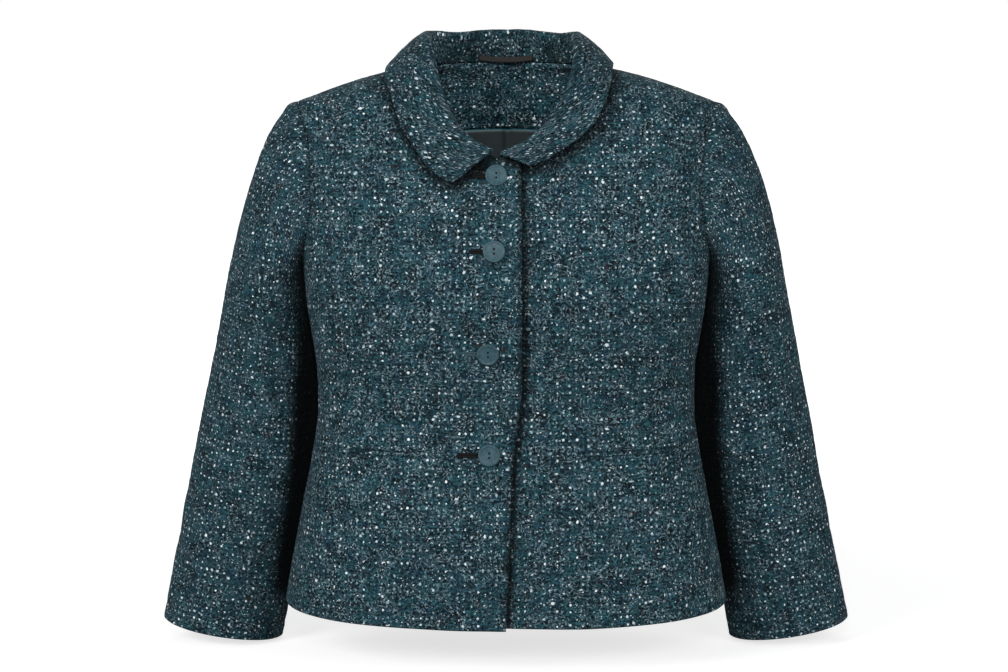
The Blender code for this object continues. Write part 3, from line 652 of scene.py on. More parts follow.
def newFinish(name, surface):
    made = bpy.data.materials.new(name)
    made.use_nodes = True
    shader = made.node_tree.nodes["Principled BSDF"]
    for key, value in surface.items():
        shader.inputs[key].default_value = value
    return made, made.node_tree, shader


def wear(shader, colour, height, bump, roughness=None):  # bump is strength and distance
    relief = {"Height": height, "Strength": bump[0], "Distance": bump[1]}
    shown = {"Base Color": colour, "Normal": addNode("ShaderNodeBump", relief).outputs[0]}
    if roughness is not None:
        shown["Roughness"] = roughness
    for key, socket in shown.items():
        colour.id_data.links.new(socket, shader.inputs[key])


def clothMillimetres(tree):
    return spread(addNode("ShaderNodeUVMap", tree=tree, uv_map="cloth").outputs[0], 1000.0, 1000.0)


def shaded(tree, colour):  # darker by the painted shade held in the cloth's shade attribute
    shade = addNode("ShaderNodeAttribute", tree=tree, attribute_name="shade").outputs["Fac"]
    return blend(1.0, colour, shade, "MULTIPLY")


tweedTree = tweedGroup()


def tweedFinish(name, **values):
    made, tree, shader = newFinish(name, tweedLook["surface"])
    inputs = {"Cloth": clothMillimetres(tree), **values}
    tweed = addNode("ShaderNodeGroup", inputs, node_tree=tweedTree).outputs
    wear(shader, shaded(tree, tweed["Colour"]), tweed["Relief"], tweedLook["bump"])
    return made


liningLook = {
    "surface": {"Roughness": 0.42, "Specular IOR Level": 0.35},
    "cloud": (0.03, 2.0),  # scale and detail
    "colours": (linear(44, 53, 57), linear(68, 78, 82)),
    "twill": (0.55, 0.4),  # scale and distortion
    "twillColour": linear(82, 91, 95),
    "twillShare": 0.25,
    "twillGloss": (0.48, 0.36),  # roughness between the ribs and on them
    "piping": linear(38, 104, 114),
    "pipingEdge": (-1.9, -1.5),  # millimetres from the top
    "bump": (0.15, 0.0002),  # strength and distance
}
tapeLook = {
    "surface": {"Roughness": 0.7},
    "rib": (0.5, 0.6),
    "speck": (0.8, 2.0),
    "colours": (linear(16, 14, 14), linear(38, 31, 29)),
    "bump": (0.4, 0.0003),
}
hornLook = {
    "surface": {"Roughness": 0.36, "Specular IOR Level": 0.22},
    "cloud": {"scale": 160.0, "detail": 3.0, "distortion": 1.2},
    "cloudEdge": (0.35, 0.65),
    "colours": (linear(44, 69, 78), linear(56, 83, 92)),
    "grain": {"scale": 1400.0, "detail": 2.0},
    "grainShare": (0.55, 0.75, 0.0, 0.25),
    "grainGloss": (0.3, 0.7, 0.42, 0.56),
    "grainColour": linear(72, 98, 106),
    "bump": (0.12, 0.0002),
}
threadLook = {
    "surface": {"Roughness": 0.8, "Specular IOR Level": 0.08},
    "strand": {"scale": 1500.0, "detail": 2.0},
    "bump": (0.4, 0.0003),
}


def liningFinish():
    look = liningLook
    made, tree, shader = newFinish("liningSatin", look["surface"])
    place = clothMillimetres(tree)
    twill = ribsAt(place, *look["twill"])
    dark = blend(noiseAt(place, *look["cloud"])[0], *look["colours"])
    dark = blend(times(twill, look["twillShare"]), dark, look["twillColour"])
    down = addNode("ShaderNodeSeparateXYZ", {0: place}).outputs[1]
    piped = blend(stepUp(down, *look["pipingEdge"]), dark, look["piping"])
    gloss = stepUp(twill, 0.0, 1.0, *look["twillGloss"])
    wear(shader, shaded(tree, piped), twill, look["bump"], gloss)
    return made


def tapeFinish():
    look = tapeLook
    made, tree, shader = newFinish("loopTape", look["surface"])
    place = clothMillimetres(tree)
    rib = ribsAt(place, *look["rib"])
    speck = noiseAt(place, *look["speck"])[0]
    wear(shader, blend(times(rib, speck), *look["colours"]), rib, look["bump"])
    return made


def buttonFinish():
    look = hornLook
    made, tree, shader = newFinish("buttonHorn", look["surface"])
    place = addNode("ShaderNodeTexCoord", tree=tree).outputs["Object"]
    cloud = noiseAt(place, dimensions="3D", **look["cloud"])[0]
    grain = noiseAt(place, dimensions="3D", **look["grain"])[0]
    colour = blend(stepUp(cloud, *look["cloudEdge"]), *look["colours"])
    colour = blend(stepUp(grain, *look["grainShare"]), colour, look["grainColour"])
    wear(shader, colour, grain, look["bump"], stepUp(grain, *look["grainGloss"]))
    return made


def threadFinish(name, low, high):
    look = threadLook
    made, tree, shader = newFinish(name, look["surface"])
    place = addNode("ShaderNodeTexCoord", tree=tree).outputs["Object"]
    strand = noiseAt(place, dimensions="3D", **look["strand"])[0]
    wear(shader, blend(strand, linear(*low), linear(*high)), strand, look["bump"])
    return made


finishes = {
    "body": tweedFinish("tweedBody", Dots=0.95, Order=0.42, Slubs=0.34, Tone=0.97),
    "sleeve": tweedFinish(
        "tweedSleeve", Dots=1.1, Order=0.34, Slubs=0.08, Loops=0.72, Mottle=0.55, Tone=1.08
    ),
    # Tone 0.9 darkens the collar as painted shade against the light on its top
    "collar": tweedFinish("tweedCollar", Dots=1.05, Order=0.6, Slubs=0.28, Tone=0.9),
    # Tone 1.75 brightens the facing as painted light inside the back neck
    "facing": tweedFinish("tweedFacing", Dots=1.0, Order=0.6, Slubs=0.12, Tone=1.75),
    "lining": liningFinish(),
    "tape": tapeFinish(),
    "button": buttonFinish(),
    # buttonThread: the thread's own dark colour, darkened further as painted shade in the button's
    # holes
    "thread": threadFinish("buttonThread", (6, 9, 11), (18, 25, 29)),
    "stitch": threadFinish("buttonholeStitch", (10, 11, 12), (31, 29, 29)),
    "stitchPale": threadFinish("buttonholeStitchPale", (20, 35, 41), (70, 92, 99)),
    # slit: a near-black sheet standing in for the shade inside each buttonhole's opening
    "slit": threadFinish("buttonholeSlitShade", (6, 8, 9), (16, 18, 20)),
}
print("materials made")

# Sheets of cloth


def meshFrom(bm, name):
    mesh = bpy.data.meshes.new(name)
    bm.to_mesh(mesh)
    bm.free()
    return mesh


def newObject(name, mesh, finish):
    mesh.materials.append(finish)
    made = bpy.data.objects.new(name, mesh)
    bpy.context.scene.collection.objects.link(made)
    return made


def gridMesh(name, points, uvs, outward, tube, shade):
    rows, cols = points.shape[:2]
    cross = np.cross(np.gradient(points, axis=1), np.gradient(points, axis=0))
    if np.sum(cross * outward) < 0:
        points, uvs, shade = points[:, ::-1], uvs[:, ::-1], shade[:, ::-1]
    bm = bmesh.new()
    bmesh.ops.create_grid(bm, x_segments=cols - 1, y_segments=rows - 1, size=0.5)
    mesh = meshFrom(bm, name)
    flat = np.empty(len(mesh.vertices) * 3)
    mesh.vertices.foreach_get("co", flat)
    flat = flat.reshape(-1, 3)
    col = np.rint((flat[:, 0] + 0.5) * (cols - 1)).astype(int)
    row = np.rint((flat[:, 1] + 0.5) * (rows - 1)).astype(int)
    mesh.vertices.foreach_set("co", points[row, col].ravel())
    corner = np.empty(len(mesh.loops), int)
    mesh.loops.foreach_get("vertex_index", corner)
    layer = mesh.uv_layers.new(name="cloth")
    layer.data.foreach_set("uv", uvs[row, col][corner].ravel())
    # painted shade for each point: 1 where the cloth is fully lit, less where other parts would
    # shade it
    values = mesh.attributes.new("shade", "FLOAT", "POINT").data
    values.foreach_set("value", shade[row, col].ravel())
    if tube:  # first and last columns coincide and are joined
        bm = bmesh.new()
        bm.from_mesh(mesh)
        bmesh.ops.remove_doubles(bm, verts=bm.verts, dist=1e-6)
        bm.to_mesh(mesh)
        bm.free()
    mesh.update()
    mesh.shade_smooth()
    return mesh


def clothSheet(
    node, points, uvs, outward, thickness, finish,
    kind="cloth", offset=-1.0, tube=False, shade=None,
):
    name = f"{node}_{kind}"
    shade = np.ones(points.shape[:2]) if shade is None else shade
    mesh = gridMesh(name, points, uvs, outward, tube, shade)
    made = newObject(name, mesh, finishes[finish])
    bm = bmesh.new()
    bm.from_mesh(mesh)
    rim = [v.index for v in bm.verts if v.is_boundary]
    bm.free()
    group = made.vertex_groups.new(name="wall")
    group.add(list(range(len(mesh.vertices))), 1.0, "REPLACE")
    group.add(rim, 0.0, "REPLACE")
    wall = made.modifiers.new("wall", "SOLIDIFY")
    wall.thickness = thickness
    wall.offset = offset
    wall.vertex_group = "wall"
    wall.thickness_vertex_group = cloth["edgeThin"]
    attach(made, "root")
    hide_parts(node)
    return made


def plainPiece(name, bm, finish):
    bmesh.ops.recalc_face_normals(bm, faces=bm.faces)
    mesh = meshFrom(bm, name)
    mesh.shade_smooth()
    made = newObject(name, mesh, finishes[finish])
    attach(made, "root")
    return made


# Fronts and back

flares = (  # x, facing, half width, height of the soft folds below the waist
    (-0.150, -1, 0.030, 0.0022),
    (0.155, -1, 0.030, 0.0022),
    (-0.120, 1, 0.034, 0.0045),
    (-0.035, 1, 0.036, 0.0030),
    (0.060, 1, 0.034, 0.0040),
    (0.140, 1, 0.030, 0.0035),
)
runs = {"armhole": 0.125, "upper": 0.150, "slowRows": 160}  # set how many rows a panel gets
frontLook = {
    "width": 0.225,
    "armholeJoint": 6 / 13,  # share of the armhole below the front corner
    "edgeRoll": (0.0012, 0.005, 0.006),  # height, place and width of the turned front edge
    "lapPress": (0.0016, 0.006),  # how far the under front is pressed in beside it
    # depth and width of painted shade beside the lap, on its edge, under the collar and at the
    # armhole
    "lapShade": (0.82, 0.0055),
    "lapShadeFrom": 0.001,
    "edgeShade": (0.50, 0.0042),
    "underCollarShade": (0.80, 0.0055),
    "seamShade": (0.45, 0.0040),
    "collarShadow": ((0.0, 0.0, 0.0), (0.0020, 0.0, -0.0025)),
    "collarLowest": -0.15,
    "shadeSpots": (  # x, height, half width, half height and depth of painted shade below the collar ends
        (-0.0270, -0.0925, 0.0150, 0.0085, 0.80),
        (0.0060, -0.0840, 0.0120, 0.0050, 0.60),
    ),
    "creases": (
        (-0.140, -0.150, -0.085, -0.156, 0.0060, 0.0011),
        (-0.115, -0.250, -0.070, -0.244, 0.0055, 0.0009),
        (0.050, -0.246, 0.138, -0.256, 0.0060, 0.0012),
        (-0.172, -0.205, -0.120, -0.222, 0.0075, 0.0014),
        (0.172, -0.200, 0.118, -0.216, 0.0075, 0.0013),
        (-0.165, -0.292, -0.100, -0.302, 0.0080, 0.0012),
        (0.166, -0.298, 0.110, -0.309, 0.0080, 0.0011),
        (0.120, -0.120, 0.168, -0.150, 0.0070, 0.0009),
        (-0.100, -0.420, -0.140, -0.470, 0.0090, 0.0010),
        (0.090, -0.410, 0.125, -0.480, 0.0090, 0.0010),
    ),
}
backLook = {
    "width": 0.470,
    "step": 0.0026,
    "armholeJoint": 5 / 13,
    "jointRise": 5 / 6,  # of the way from the underarm to the front corner
    "neckShare": 0.4,  # of the top edge
    "creases": (
        (-0.130, -0.250, -0.030, -0.262, 0.0090, 0.0026),
        (0.125, -0.270, 0.020, -0.262, 0.0090, 0.0024),
        (-0.100, -0.300, 0.060, -0.308, 0.0095, 0.0022),
        (-0.172, -0.190, -0.125, -0.240, 0.0085, 0.0025),
        (0.172, -0.195, 0.128, -0.243, 0.0085, 0.0025),
        (-0.160, -0.080, -0.128, -0.165, 0.0100, 0.0020),
        (0.162, -0.085, 0.130, -0.160, 0.0100, 0.0019),
        (0.040, -0.330, 0.150, -0.320, 0.0085, 0.0018),
    ),
}


def belowWaist(z):
    return ease((levels["waist"] - z) / (levels["waist"] - levels["hem"]))


def flareRelief(points, facing):
    x = points[..., 0]
    folds = [fold for fold in flares if fold[1] == facing]
    relief = sum(height * hump(x - middle, width) for middle, _side, width, height in folds)
    return relief * belowWaist(points[..., 2])


def lowerRows(facing, joint, jointLevel, innerEdge, shares, bend, edgeRise=0.0):
    hem, underarm = levels["hem"], levels["underarm"]
    rows = []
    for z in hem + (underarm - hem) * edgeShares(underarm - hem)[:-2]:
        rows.append((z, z, float(halfWidth(z))))
    armShares = np.linspace(0.0, joint, int(round(runs["armhole"] / cloth["step"])) + 1)
    for share, point in zip(armShares, armholeLine(facing, armShares)):
        rows.append((underarm + (jointLevel - underarm) * share / joint, point[2], point[0]))
    deepest = levels["frontHemDip" if facing < 0 else "backHemDip"]
    grid = []
    for middle, level, outerX in rows:
        x = levelRow(level, innerEdge(middle, outerX), outerX, shares, facing)
        z = middle + (level - middle) * bend**2
        dip = deepest * np.clip(1 - (np.abs(x) / halfWidth(hem)) ** 2, 0.0, 1.0)
        low = z - (dip - edgeRise * ease(1 - np.abs(x) / lap["start"])) * belowWaist(z)
        grid.append(onBody(x * halfWidth(low) / halfWidth(level), low, facing))
    return np.array(grid)


def withUpperRows(lower, dense):
    return np.concatenate([lower, byLength(dense, edgeShares(runs["upper"])[2:])])


def frontGrid(side):  # from the front edge outwards, hem to shoulder, on the wearer's left
    def ownEdge(z, _outerX):
        return frontEdge(z, side)

    joint, shares = frontLook["armholeJoint"], edgeShares(frontLook["width"])
    neck = levels["frontNeck"]
    corner = np.array([frontEdge(neck, side), neck - lap["cornerDrop"]])
    rise = levels["underlapRise"] if side > 0 else 0.0
    lower = lowerRows(-1, joint, corner[1], ownEdge, shares, shares, rise)
    seam = frontNeckLine(side, *linePoints["frontNeck"])[:, [0, 2]] * (side, 1)
    toSeam = corner + (seam[0] - corner) * np.linspace(0, 1, linePoints["toSeam"])[:, None]
    leftEdge = np.concatenate([toSeam, seam[1:]])
    slow = slowing(runs["slowRows"])
    lefts = pointsAt(slow, np.linspace(0, 1, len(leftEdge)), leftEdge)
    rights = armholeLine(-1, joint + (1 - joint) * slow)[:, [0, 2]]
    startX = lower[-1][:, 0]
    profile = (startX - startX[0]) / (startX[-1] - startX[0])
    tip = lefts[-1] + (rights[-1] - lefts[-1]) * shares[:, None]
    bulge = ridgeHeight(tip[:, 0]) - tip[:, 1]
    dense = []
    for t, left, right in zip(slow, lefts, rights):
        x = left[0] + (right[0] - left[0]) * (profile * (1 - t) + shares * t)
        climb = shares + (shares**2 - shares) * (1 - t) ** 2
        z = left[1] + (right[1] - left[1]) * climb + bulge * t * t
        dense.append(onBody(x, np.minimum(z, ridgeHeight(x)), -1))
    dense = np.array(dense)
    dense[-1, :, 1] = 0.0
    dense[-1, :, 2] = ridgeHeight(dense[-1, :, 0])
    return withUpperRows(lower, dense)


def frontRelief(points, side):  # folds of a front, without the yarn
    relief = flareRelief(points, -1) + creaseRelief(points, frontLook["creases"])
    return relief + lapLift(points[..., 0]) if side < 0 else relief


def collarShade(points, atOnce=64):  # painted shadow below the collar's edge
    edges = np.concatenate([collarRim + shift for shift in frontLook["collarShadow"]])
    gap = np.full(points.shape[:2], 1.0)
    high = points[:, 0, 2] > frontLook["collarLowest"]
    near = points[high]
    for k in range(0, len(edges), atOnce):  # to spare memory
        away = near[:, :, None, :] - edges[None, None, k:k + atOnce, :]
        nearest = np.sqrt(np.min(np.sum(away * away, axis=-1), axis=-1))
        gap[high] = np.minimum(gap[high], nearest)
    return darker(gap, frontLook["underCollarShade"])


def makeFront(node, side, seed):
    look = frontLook
    points = frontGrid(side) * (side, 1, 1)
    points[..., 1] -= cloth["seam"] / 2
    normals = bodyNormal(points)
    u, v, edge = edgeDistance(points)
    x, z = points[..., 0], points[..., 2]
    relief = frontRelief(points, side)
    shade = collarShade(points)  # painted shade where another piece stands over the cloth
    # painted shade in the valley of the armhole seam
    shade *= darker(np.where(z > levels["underarm"], u[:, -1:] - u, 1.0), look["seamShade"])
    # painted shade below the collar's front ends
    for spotX, spotZ, width, height, dark in look["shadeSpots"]:
        shade *= 1 - dark * hump(x - spotX, width) * hump(z - spotZ, height)
    if side < 0:
        height, middle, width = look["edgeRoll"]
        relief += height * hump(u - middle, width)
        # painted shade on the lapping front's own edge
        shade *= darker(u, look["edgeShade"])
    else:
        beyond = x - lapEdge(z)
        depth, width = look["lapPress"]
        relief -= depth * hump(np.maximum(beyond, 0.0), width)
        # painted shadow of the lapping front on the under front
        shade *= darker(np.maximum(beyond - look["lapShadeFrom"], 0.0), look["lapShade"])
    relief += unevenness(u, v, edge, seed) - turnedEdge(u, v)
    outer = lifted(points, normals, relief)
    uvs = weavePlace(points, -1, seed)
    return clothSheet(node, outer, uvs, normals, cloth["tweed"], "body", shade=shade)


def backGrid():
    joint, neckShare = backLook["armholeJoint"], backLook["neckShare"]
    shares = edgeShares(backLook["width"], backLook["step"])
    span = shares * 2 - 1
    across = np.abs(span)
    rise = levels["frontNeck"] - lap["cornerDrop"] - levels["underarm"]
    jointMiddle = levels["underarm"] + rise * backLook["jointRise"]
    lower = lowerRows(1, joint, jointMiddle, lambda _z, outerX: -outerX, shares, across)
    neckX = levels["neckHalfWidth"]
    tipX = float(halfWidth(levels["shoulderTip"]))
    shoulderX = np.linspace(neckX, tipX, linePoints["ridge"])
    shoulder = np.stack([shoulderX, ridgeHeight(shoulderX)], axis=1)
    shoulder = evenly(shoulder, np.clip((across - neckShare) / (1 - neckShare), 0, 1))
    neck = neckX * np.sin(np.clip(across / neckShare, 0, 1) * math.pi / 2)
    onNeck = across < neckShare
    topX = np.sign(span) * np.where(onNeck, neck, shoulder[:, 0])
    top = np.stack([topX, np.where(onNeck, 0.0, shoulder[:, 1])], axis=1)
    start = lower[-1][:, [0, 2]]
    level = start[0, 1]
    dense = []
    for t in slowing(runs["slowRows"]):
        z = level + t * (levels["shoulderTip"] - level)
        x, height = (start + (top - start) * t).T
        x = x * (float(armholeBack(z)) / x[-1])
        dense.append(onBody(x, np.minimum(height, np.where(onNeck, 0.0, ridgeHeight(x))), 1))
    dense = np.array(dense)
    dense[-1, ~onNeck, 1] = 0.0
    return withUpperRows(lower, dense)


def makeBack(node, seed):
    points = backGrid()
    normals = bodyNormal(points)
    u, v, edge = edgeDistance(points)
    relief = flareRelief(points, 1) + creaseRelief(points, backLook["creases"])
    relief += unevenness(u, v, edge, seed) - turnedEdge(u, v, inner="seam")
    outer = lifted(points, normals, relief)
    outer[..., 1] += cloth["seam"] / 2
    uvs = weavePlace(points, 1, seed)
    # painted shadow of the collar on the back
    shade = collarShade(points)
    return clothSheet(node, outer, uvs, normals, cloth["tweed"], "body", shade=shade)


# Sleeves

sleeveLook = {
    "line": (0.2643, -0.200, 0.206),  # x, height and slope of the outer line
    "headOut": (0.105, -0.036),
    "underOut": (0.012, -0.012),
    "headBulge": 0.030,
    "axis": (0.19, 0.04, -0.98),
    "leave": (0.120, 0.040),
    "tuck": 0.0020,  # how far the head goes in behind the armhole edge
    "ridge": (0.0022, 0.0115, 0.0080),  # roll on top of the shoulder: height, place, width
    "around": 146,
    "headRows": 62,
    "rows": 146,
    "closing": 0.06,  # share of the way round in which the last columns run into the first
    "bodyShade": (0.97, 0.003, 0.014),  # depth of the painted shade from the body, start and width of its edge
    "shadeEnds": (-0.172, -0.530, 0.03),  # top, bottom and fade
    "closeRows": (0.006, 0.016),  # extra rows beside the head seam and the cuff edge
    "fineFrom": 4,  # number of the first fine crease; these differ from sleeve to sleeve
    "fineBank": 0.45,
    "fineTurn": (7.0, 12.0),  # on the right sleeve: spread and start of their turn
    "fineRise": (0.009, 0.016),  # and of their height
    "slant": 0.00011,  # of a crease, for each degree
    "slantMost": 0.008,
    # turn from the outside through the front, height, half length in degrees, half width, depth
    "creases": (
        (95.0, -0.262, 55.0, 0.016, 0.0030),
        (130.0, -0.300, 50.0, 0.014, 0.0028),
        (250.0, -0.285, 60.0, 0.018, 0.0030),
        (70.0, -0.345, 45.0, 0.016, 0.0020),
        (110.0, -0.322, 42.0, 0.008, 0.0016),
        (85.0, -0.296, 38.0, 0.007, 0.0014),
        (120.0, -0.238, 40.0, 0.009, 0.0014),
        (60.0, -0.395, 50.0, 0.010, 0.0012),
        (140.0, -0.430, 45.0, 0.011, 0.0012),
        (235.0, -0.330, 50.0, 0.009, 0.0016),
        (290.0, -0.250, 45.0, 0.010, 0.0014),
        (265.0, -0.400, 55.0, 0.011, 0.0013),
        (20.0, -0.450, 45.0, 0.012, 0.0010),
    ),
}
# height and x inside which a sleeve gets painted shade from the body
sleeveShade = np.array((
    (-0.176, 0.1900), (-0.200, 0.2000), (-0.276, 0.2010), (-0.314, 0.2060),
    (-0.371, 0.2105), (-0.438, 0.2195), (-0.486, 0.2270), (-0.520, 0.2280),
))
# number, outer height, inner height, inner x, half depth, middle y
sleeveRings = np.array((
    (0, -0.190, -0.213, 0.1915, 0.071, 0.010),
    (1, -0.235, -0.255, 0.1845, 0.070, 0.020),
    (2, -0.280, -0.300, 0.1785, 0.067, 0.030),
    (3, -0.325, -0.345, 0.1800, 0.063, 0.034),
    (4, -0.373, -0.393, 0.1880, 0.059, 0.036),
    (5, -0.425, -0.445, 0.1980, 0.054, 0.037),
    (6, -0.480, -0.500, 0.2085, 0.050, 0.038),
    (7, -0.5365, -0.5555, 0.2180, 0.047, 0.038),
))
ringCurves = tableCurves(sleeveRings)
shadeLine = tableCurves(sleeveShade)[0]


def sleeveRing(number, turns):  # ring on the wearer's left, also between the table's rows
    outerZ, innerZ, innerX, halfDepth, midY = [float(curve(number)) for curve in ringCurves]
    lineX, lineZ, slope = sleeveLook["line"]
    outer = np.array([lineX + slope * (lineZ - outerZ), midY, outerZ])
    inner = np.array([innerX, midY, innerZ])
    forward = halfDepth * np.array([0.0, -1.0, -sleeveLook["axis"][1]])
    middle, arm = (outer + inner) / 2, (outer - inner) / 2
    return middle + np.cos(turns)[:, None] * arm + np.sin(turns)[:, None] * forward


def tubeNormals(grid):  # the last column repeats the first
    ring = grid[:, :-1]
    around = np.roll(ring, -1, axis=1) - np.roll(ring, 1, axis=1)
    normals = unit(np.cross(np.gradient(ring, axis=0), around))
    if np.sum((ring - ring.mean(axis=1, keepdims=True)) * normals) < 0:
        normals = -normals
    return np.concatenate([normals, normals[:, :1]], axis=1)


def sleeveCreases(turns, heights, mirror):
    look, most = sleeveLook, sleeveLook["slantMost"]
    degrees = np.degrees(turns) % 360
    relief = np.zeros_like(heights)
    for number, (turn, height, halfLength, width, depth) in enumerate(look["creases"]):
        fine = number >= look["fineFrom"]
        if mirror and fine:
            turn += look["fineTurn"][0] * (number % 4) - look["fineTurn"][1]
            height += look["fineRise"][1] - look["fineRise"][0] * (number % 5)
        away = np.abs(degrees - turn)
        away = np.minimum(away, 360 - away) / halfLength
        slant = (degrees - turn) * look["slant"] * (1 if number % 2 else -1)
        off = (heights - height - np.clip(slant, -most, most)) / width
        bank = look["fineBank"] * hump(off - creaseForm["bankAway"], 1.0) * fine
        relief -= depth * ease(1 - away) * (hump(off, 1.0) - bank)
    return relief


def sleeveGrid():
    look = sleeveLook
    half = look["around"] // 2
    shares = np.linspace(0.0, 1.0, half + 1)
    front, back = armholeLine(-1, shares), armholeLine(1, shares)
    front[:, 1] -= cloth["seam"] / 2
    back[:, 1] += cloth["seam"] / 2
    loop = np.concatenate([back, front[::-1][1:]])  # underarm, back, shoulder, front, underarm
    loop[[0, half, -1], 1] = 0.0
    loop[:, 0] -= cloth["seam"] / 2
    turns = np.linspace(3 * math.pi, math.pi, 2 * half + 1)[::-1]
    top = ((1 + np.cos(turns)) / 2)[:, None]
    head, under = np.array(look["headOut"]), np.array(look["underOut"])
    outX, outZ = (under + (head - under) * top).T
    leave = np.stack([outX, -look["headBulge"] * np.sin(turns), outZ], axis=1)
    longLeave, shortLeave = look["leave"]
    arrive = unit(look["axis"]) * (shortLeave + (longLeave - shortLeave) * top)
    biceps = sleeveRing(0.0, turns)
    headShares = np.linspace(0.0, 1.0, look["headRows"] + 1)[1:]
    rows = [loop - unit(leave) * look["tuck"] - bodyNormal(loop) * cloth["tweed"] / 2]
    closeHead, closeCuff = look["closeRows"]
    for t in (0.0, closeHead, *headShares):
        rows.append(hermite(loop, biceps, leave, arrive, t))
    last = len(sleeveRings) - 1
    for number in (*np.linspace(0.0, last, look["rows"] + 1)[1:-1], last - closeCuff, last):
        rows.append(sleeveRing(number, turns))
    return np.array(rows), turns


def makeSleeve(node, side, seed):
    look = sleeveLook
    points, turns = sleeveGrid()
    normals = tubeNormals(points)
    x, z = points[..., 0], points[..., 2]
    u, v, edge = edgeDistance(points, tube=True)
    relief = sleeveCreases(turns[None, :] + 0 * v, z, side < 0)
    uneven = unevenness(u, v, edge, seed)
    closing = ease((u / u[:, -1:] - (1 - look["closing"])) / look["closing"])
    relief += uneven * (1 - closing) + uneven[:, :1] * closing
    relief -= turnedEdge(u, v, low="seam", high="edge", inner=None, outer=None)
    height, place, width = look["ridge"]
    relief += height * ((1 + np.cos(turns)) / 2) ** 4 * hump(v - place, width)
    # painted shade: near-black band on the sleeve's inner side, where the body shades it
    high, low, fade = look["shadeEnds"]
    depth, start, width = look["bodyShade"]
    shade = depth * ease((high - z) / fade) * ease((z - low) / fade)
    shade = 1 - shade * ease((shadeLine(z) + start - x) / width)
    # painted shade along the sleeve's head seam
    shade *= darker(v, frontLook["seamShade"])
    flip = np.array([side, 1.0, 1.0])
    outer = lifted(points, normals, relief) * flip
    across = u - u[:, len(turns) // 2][:, None] + seed * cloth["bolt"]
    uvs = np.stack([across, v[-1:] - v], axis=-1)
    outward = normals * flip
    return clothSheet(
        node, outer, uvs, outward, cloth["tweed"], "sleeve", tube=True, shade=shade
    )


# Collar

collarLook = {
    "cloth": 0.0044,
    "solid": 0.0024,  # wall of the solid that it stands for
    "foldRadius": 0.0034,
    "clear": 0.0016,
    "leastStand": 0.002,
    "tuck": 0.0022,  # how far the stand goes in behind the neck edge of a front
    "tuckFrom": (0.45, 0.15),  # where along the seam that starts, and how soon it is full
    "endGap": 0.006,
    "fallShare": 0.85,
    "fallBend": 0.4,
    "walk": 1.2,  # how far over the body a section is laid out, for each unit of reach
    "uneven": 0.75,
    "stations": 96,  # on each side
    "standSteps": 8,
    "foldSteps": 9,
    "fallSteps": 17,
    "closeRow": 0.975,  # share of the fall down to an extra row beside its edge
}
# along, stand, rise, reach, turn, lift
collarRight = np.array((
    (0.00, 0.029, 28.0, 0.021, 0.0, 0.0010),
    (0.25, 0.030, 42.0, 0.025, 0.0, 0.0008),
    (0.42, 0.029, 76.0, 0.034, 0.0, 0.0004),
    (0.55, 0.023, 66.0, 0.037, 0.0, 0.0015),
    (0.68, 0.018, 52.0, 0.033, 2.0, 0.0030),
    (0.80, 0.014, 44.0, 0.0335, 5.0, 0.0040),
    (0.92, 0.009, 42.0, 0.0385, 14.0, 0.0045),
    (1.00, 0.005, 45.0, 0.0390, 34.0, 0.0050),
))
collarLeft = np.array((
    (0.00, 0.029, 28.0, 0.021, 0.0, 0.0010),
    (0.25, 0.030, 36.0, 0.024, 0.0, 0.0008),
    (0.42, 0.029, 58.0, 0.0245, 0.0, 0.0006),
    (0.55, 0.026, 58.0, 0.0225, 8.0, 0.0050),
    (0.68, 0.022, 50.0, 0.0240, 26.0, 0.0090),
    (0.80, 0.019, 44.0, 0.026, 42.0, 0.0110),
    (0.92, 0.012, 44.0, 0.026, 56.0, 0.0100),
    (1.00, 0.006, 45.0, 0.027, 52.0, 0.0090),
))


def neckSeam(side):  # from the middle of the back to the front end of one side
    turn = np.sin(np.linspace(0.0, math.pi / 2, linePoints["backNeck"]))
    back = onBody(side * levels["neckHalfWidth"] * turn, np.zeros_like(turn), 1)
    front = frontNeckLine(side, *linePoints["collarNeck"])
    neck, first = levels["frontNeck"], front[0]
    corner = onBody(side * frontEdge(neck, side), neck - lap["cornerDrop"], -1)
    endX = levels["neckShift"] + side * collarLook["endGap"]
    end = first + (corner - first) * (endX - first[0]) / (corner[0] - first[0])
    line = np.concatenate([back, front[::-1][1:], [end]])
    return evenly(line, edgeShares(1.0, 1.0 / collarLook["stations"]))


def walkOut(starts, headings, lengths, count=16):  # straight walks over the body, all at once
    points, normals = [starts], [bodyNormal(starts)]
    for _ in range(count):
        normal = normals[-1]
        headings = unit(headings - normal * np.sum(headings * normal, axis=1, keepdims=True))
        points.append(dropToBody(points[-1] + headings * (lengths / count)[:, None], rounds=3))
        normals.append(bodyNormal(points[-1]))
    return np.array(points), np.array(normals)


def collarSection(stand, rise, reach, seamHeight, edgeHeight, tuck):  # out over the body, up off it
    look, radius = collarLook, collarLook["foldRadius"]
    lean = math.radians(180 - rise)
    way = np.array([math.cos(lean), math.sin(lean)])
    start = np.array([-2 * cloth["seam"] - look["solid"] / 2 * abs(way[1]), seamHeight])
    straight = max(stand - radius, look["leastStand"])
    line = [start + way * far for far in np.linspace(-tuck, straight, look["standSteps"] + 1)]
    centre = line[-1] + radius * np.array([way[1], -way[0]])
    drop = math.atan2(centre[1] + radius - edgeHeight, reach - centre[0])
    for turn in np.linspace(0.0, lean + look["fallShare"] * drop, look["foldSteps"] + 1)[1:]:
        spoke = lean + math.pi / 2 - turn
        line.append(centre + radius * np.array([math.cos(spoke), math.sin(spoke)]))
    bend, edge = line[-1], np.array([reach, edgeHeight])
    control = bend + unit(bend - line[-2]) * look["fallBend"] * np.linalg.norm(edge - bend)
    for t in (*np.linspace(0.0, 1.0, look["fallSteps"] + 1)[1:-1], look["closeRow"], 1.0):
        line.append((1 - t) ** 2 * bend + 2 * t * (1 - t) * control + t * t * edge)
    return np.array(line)


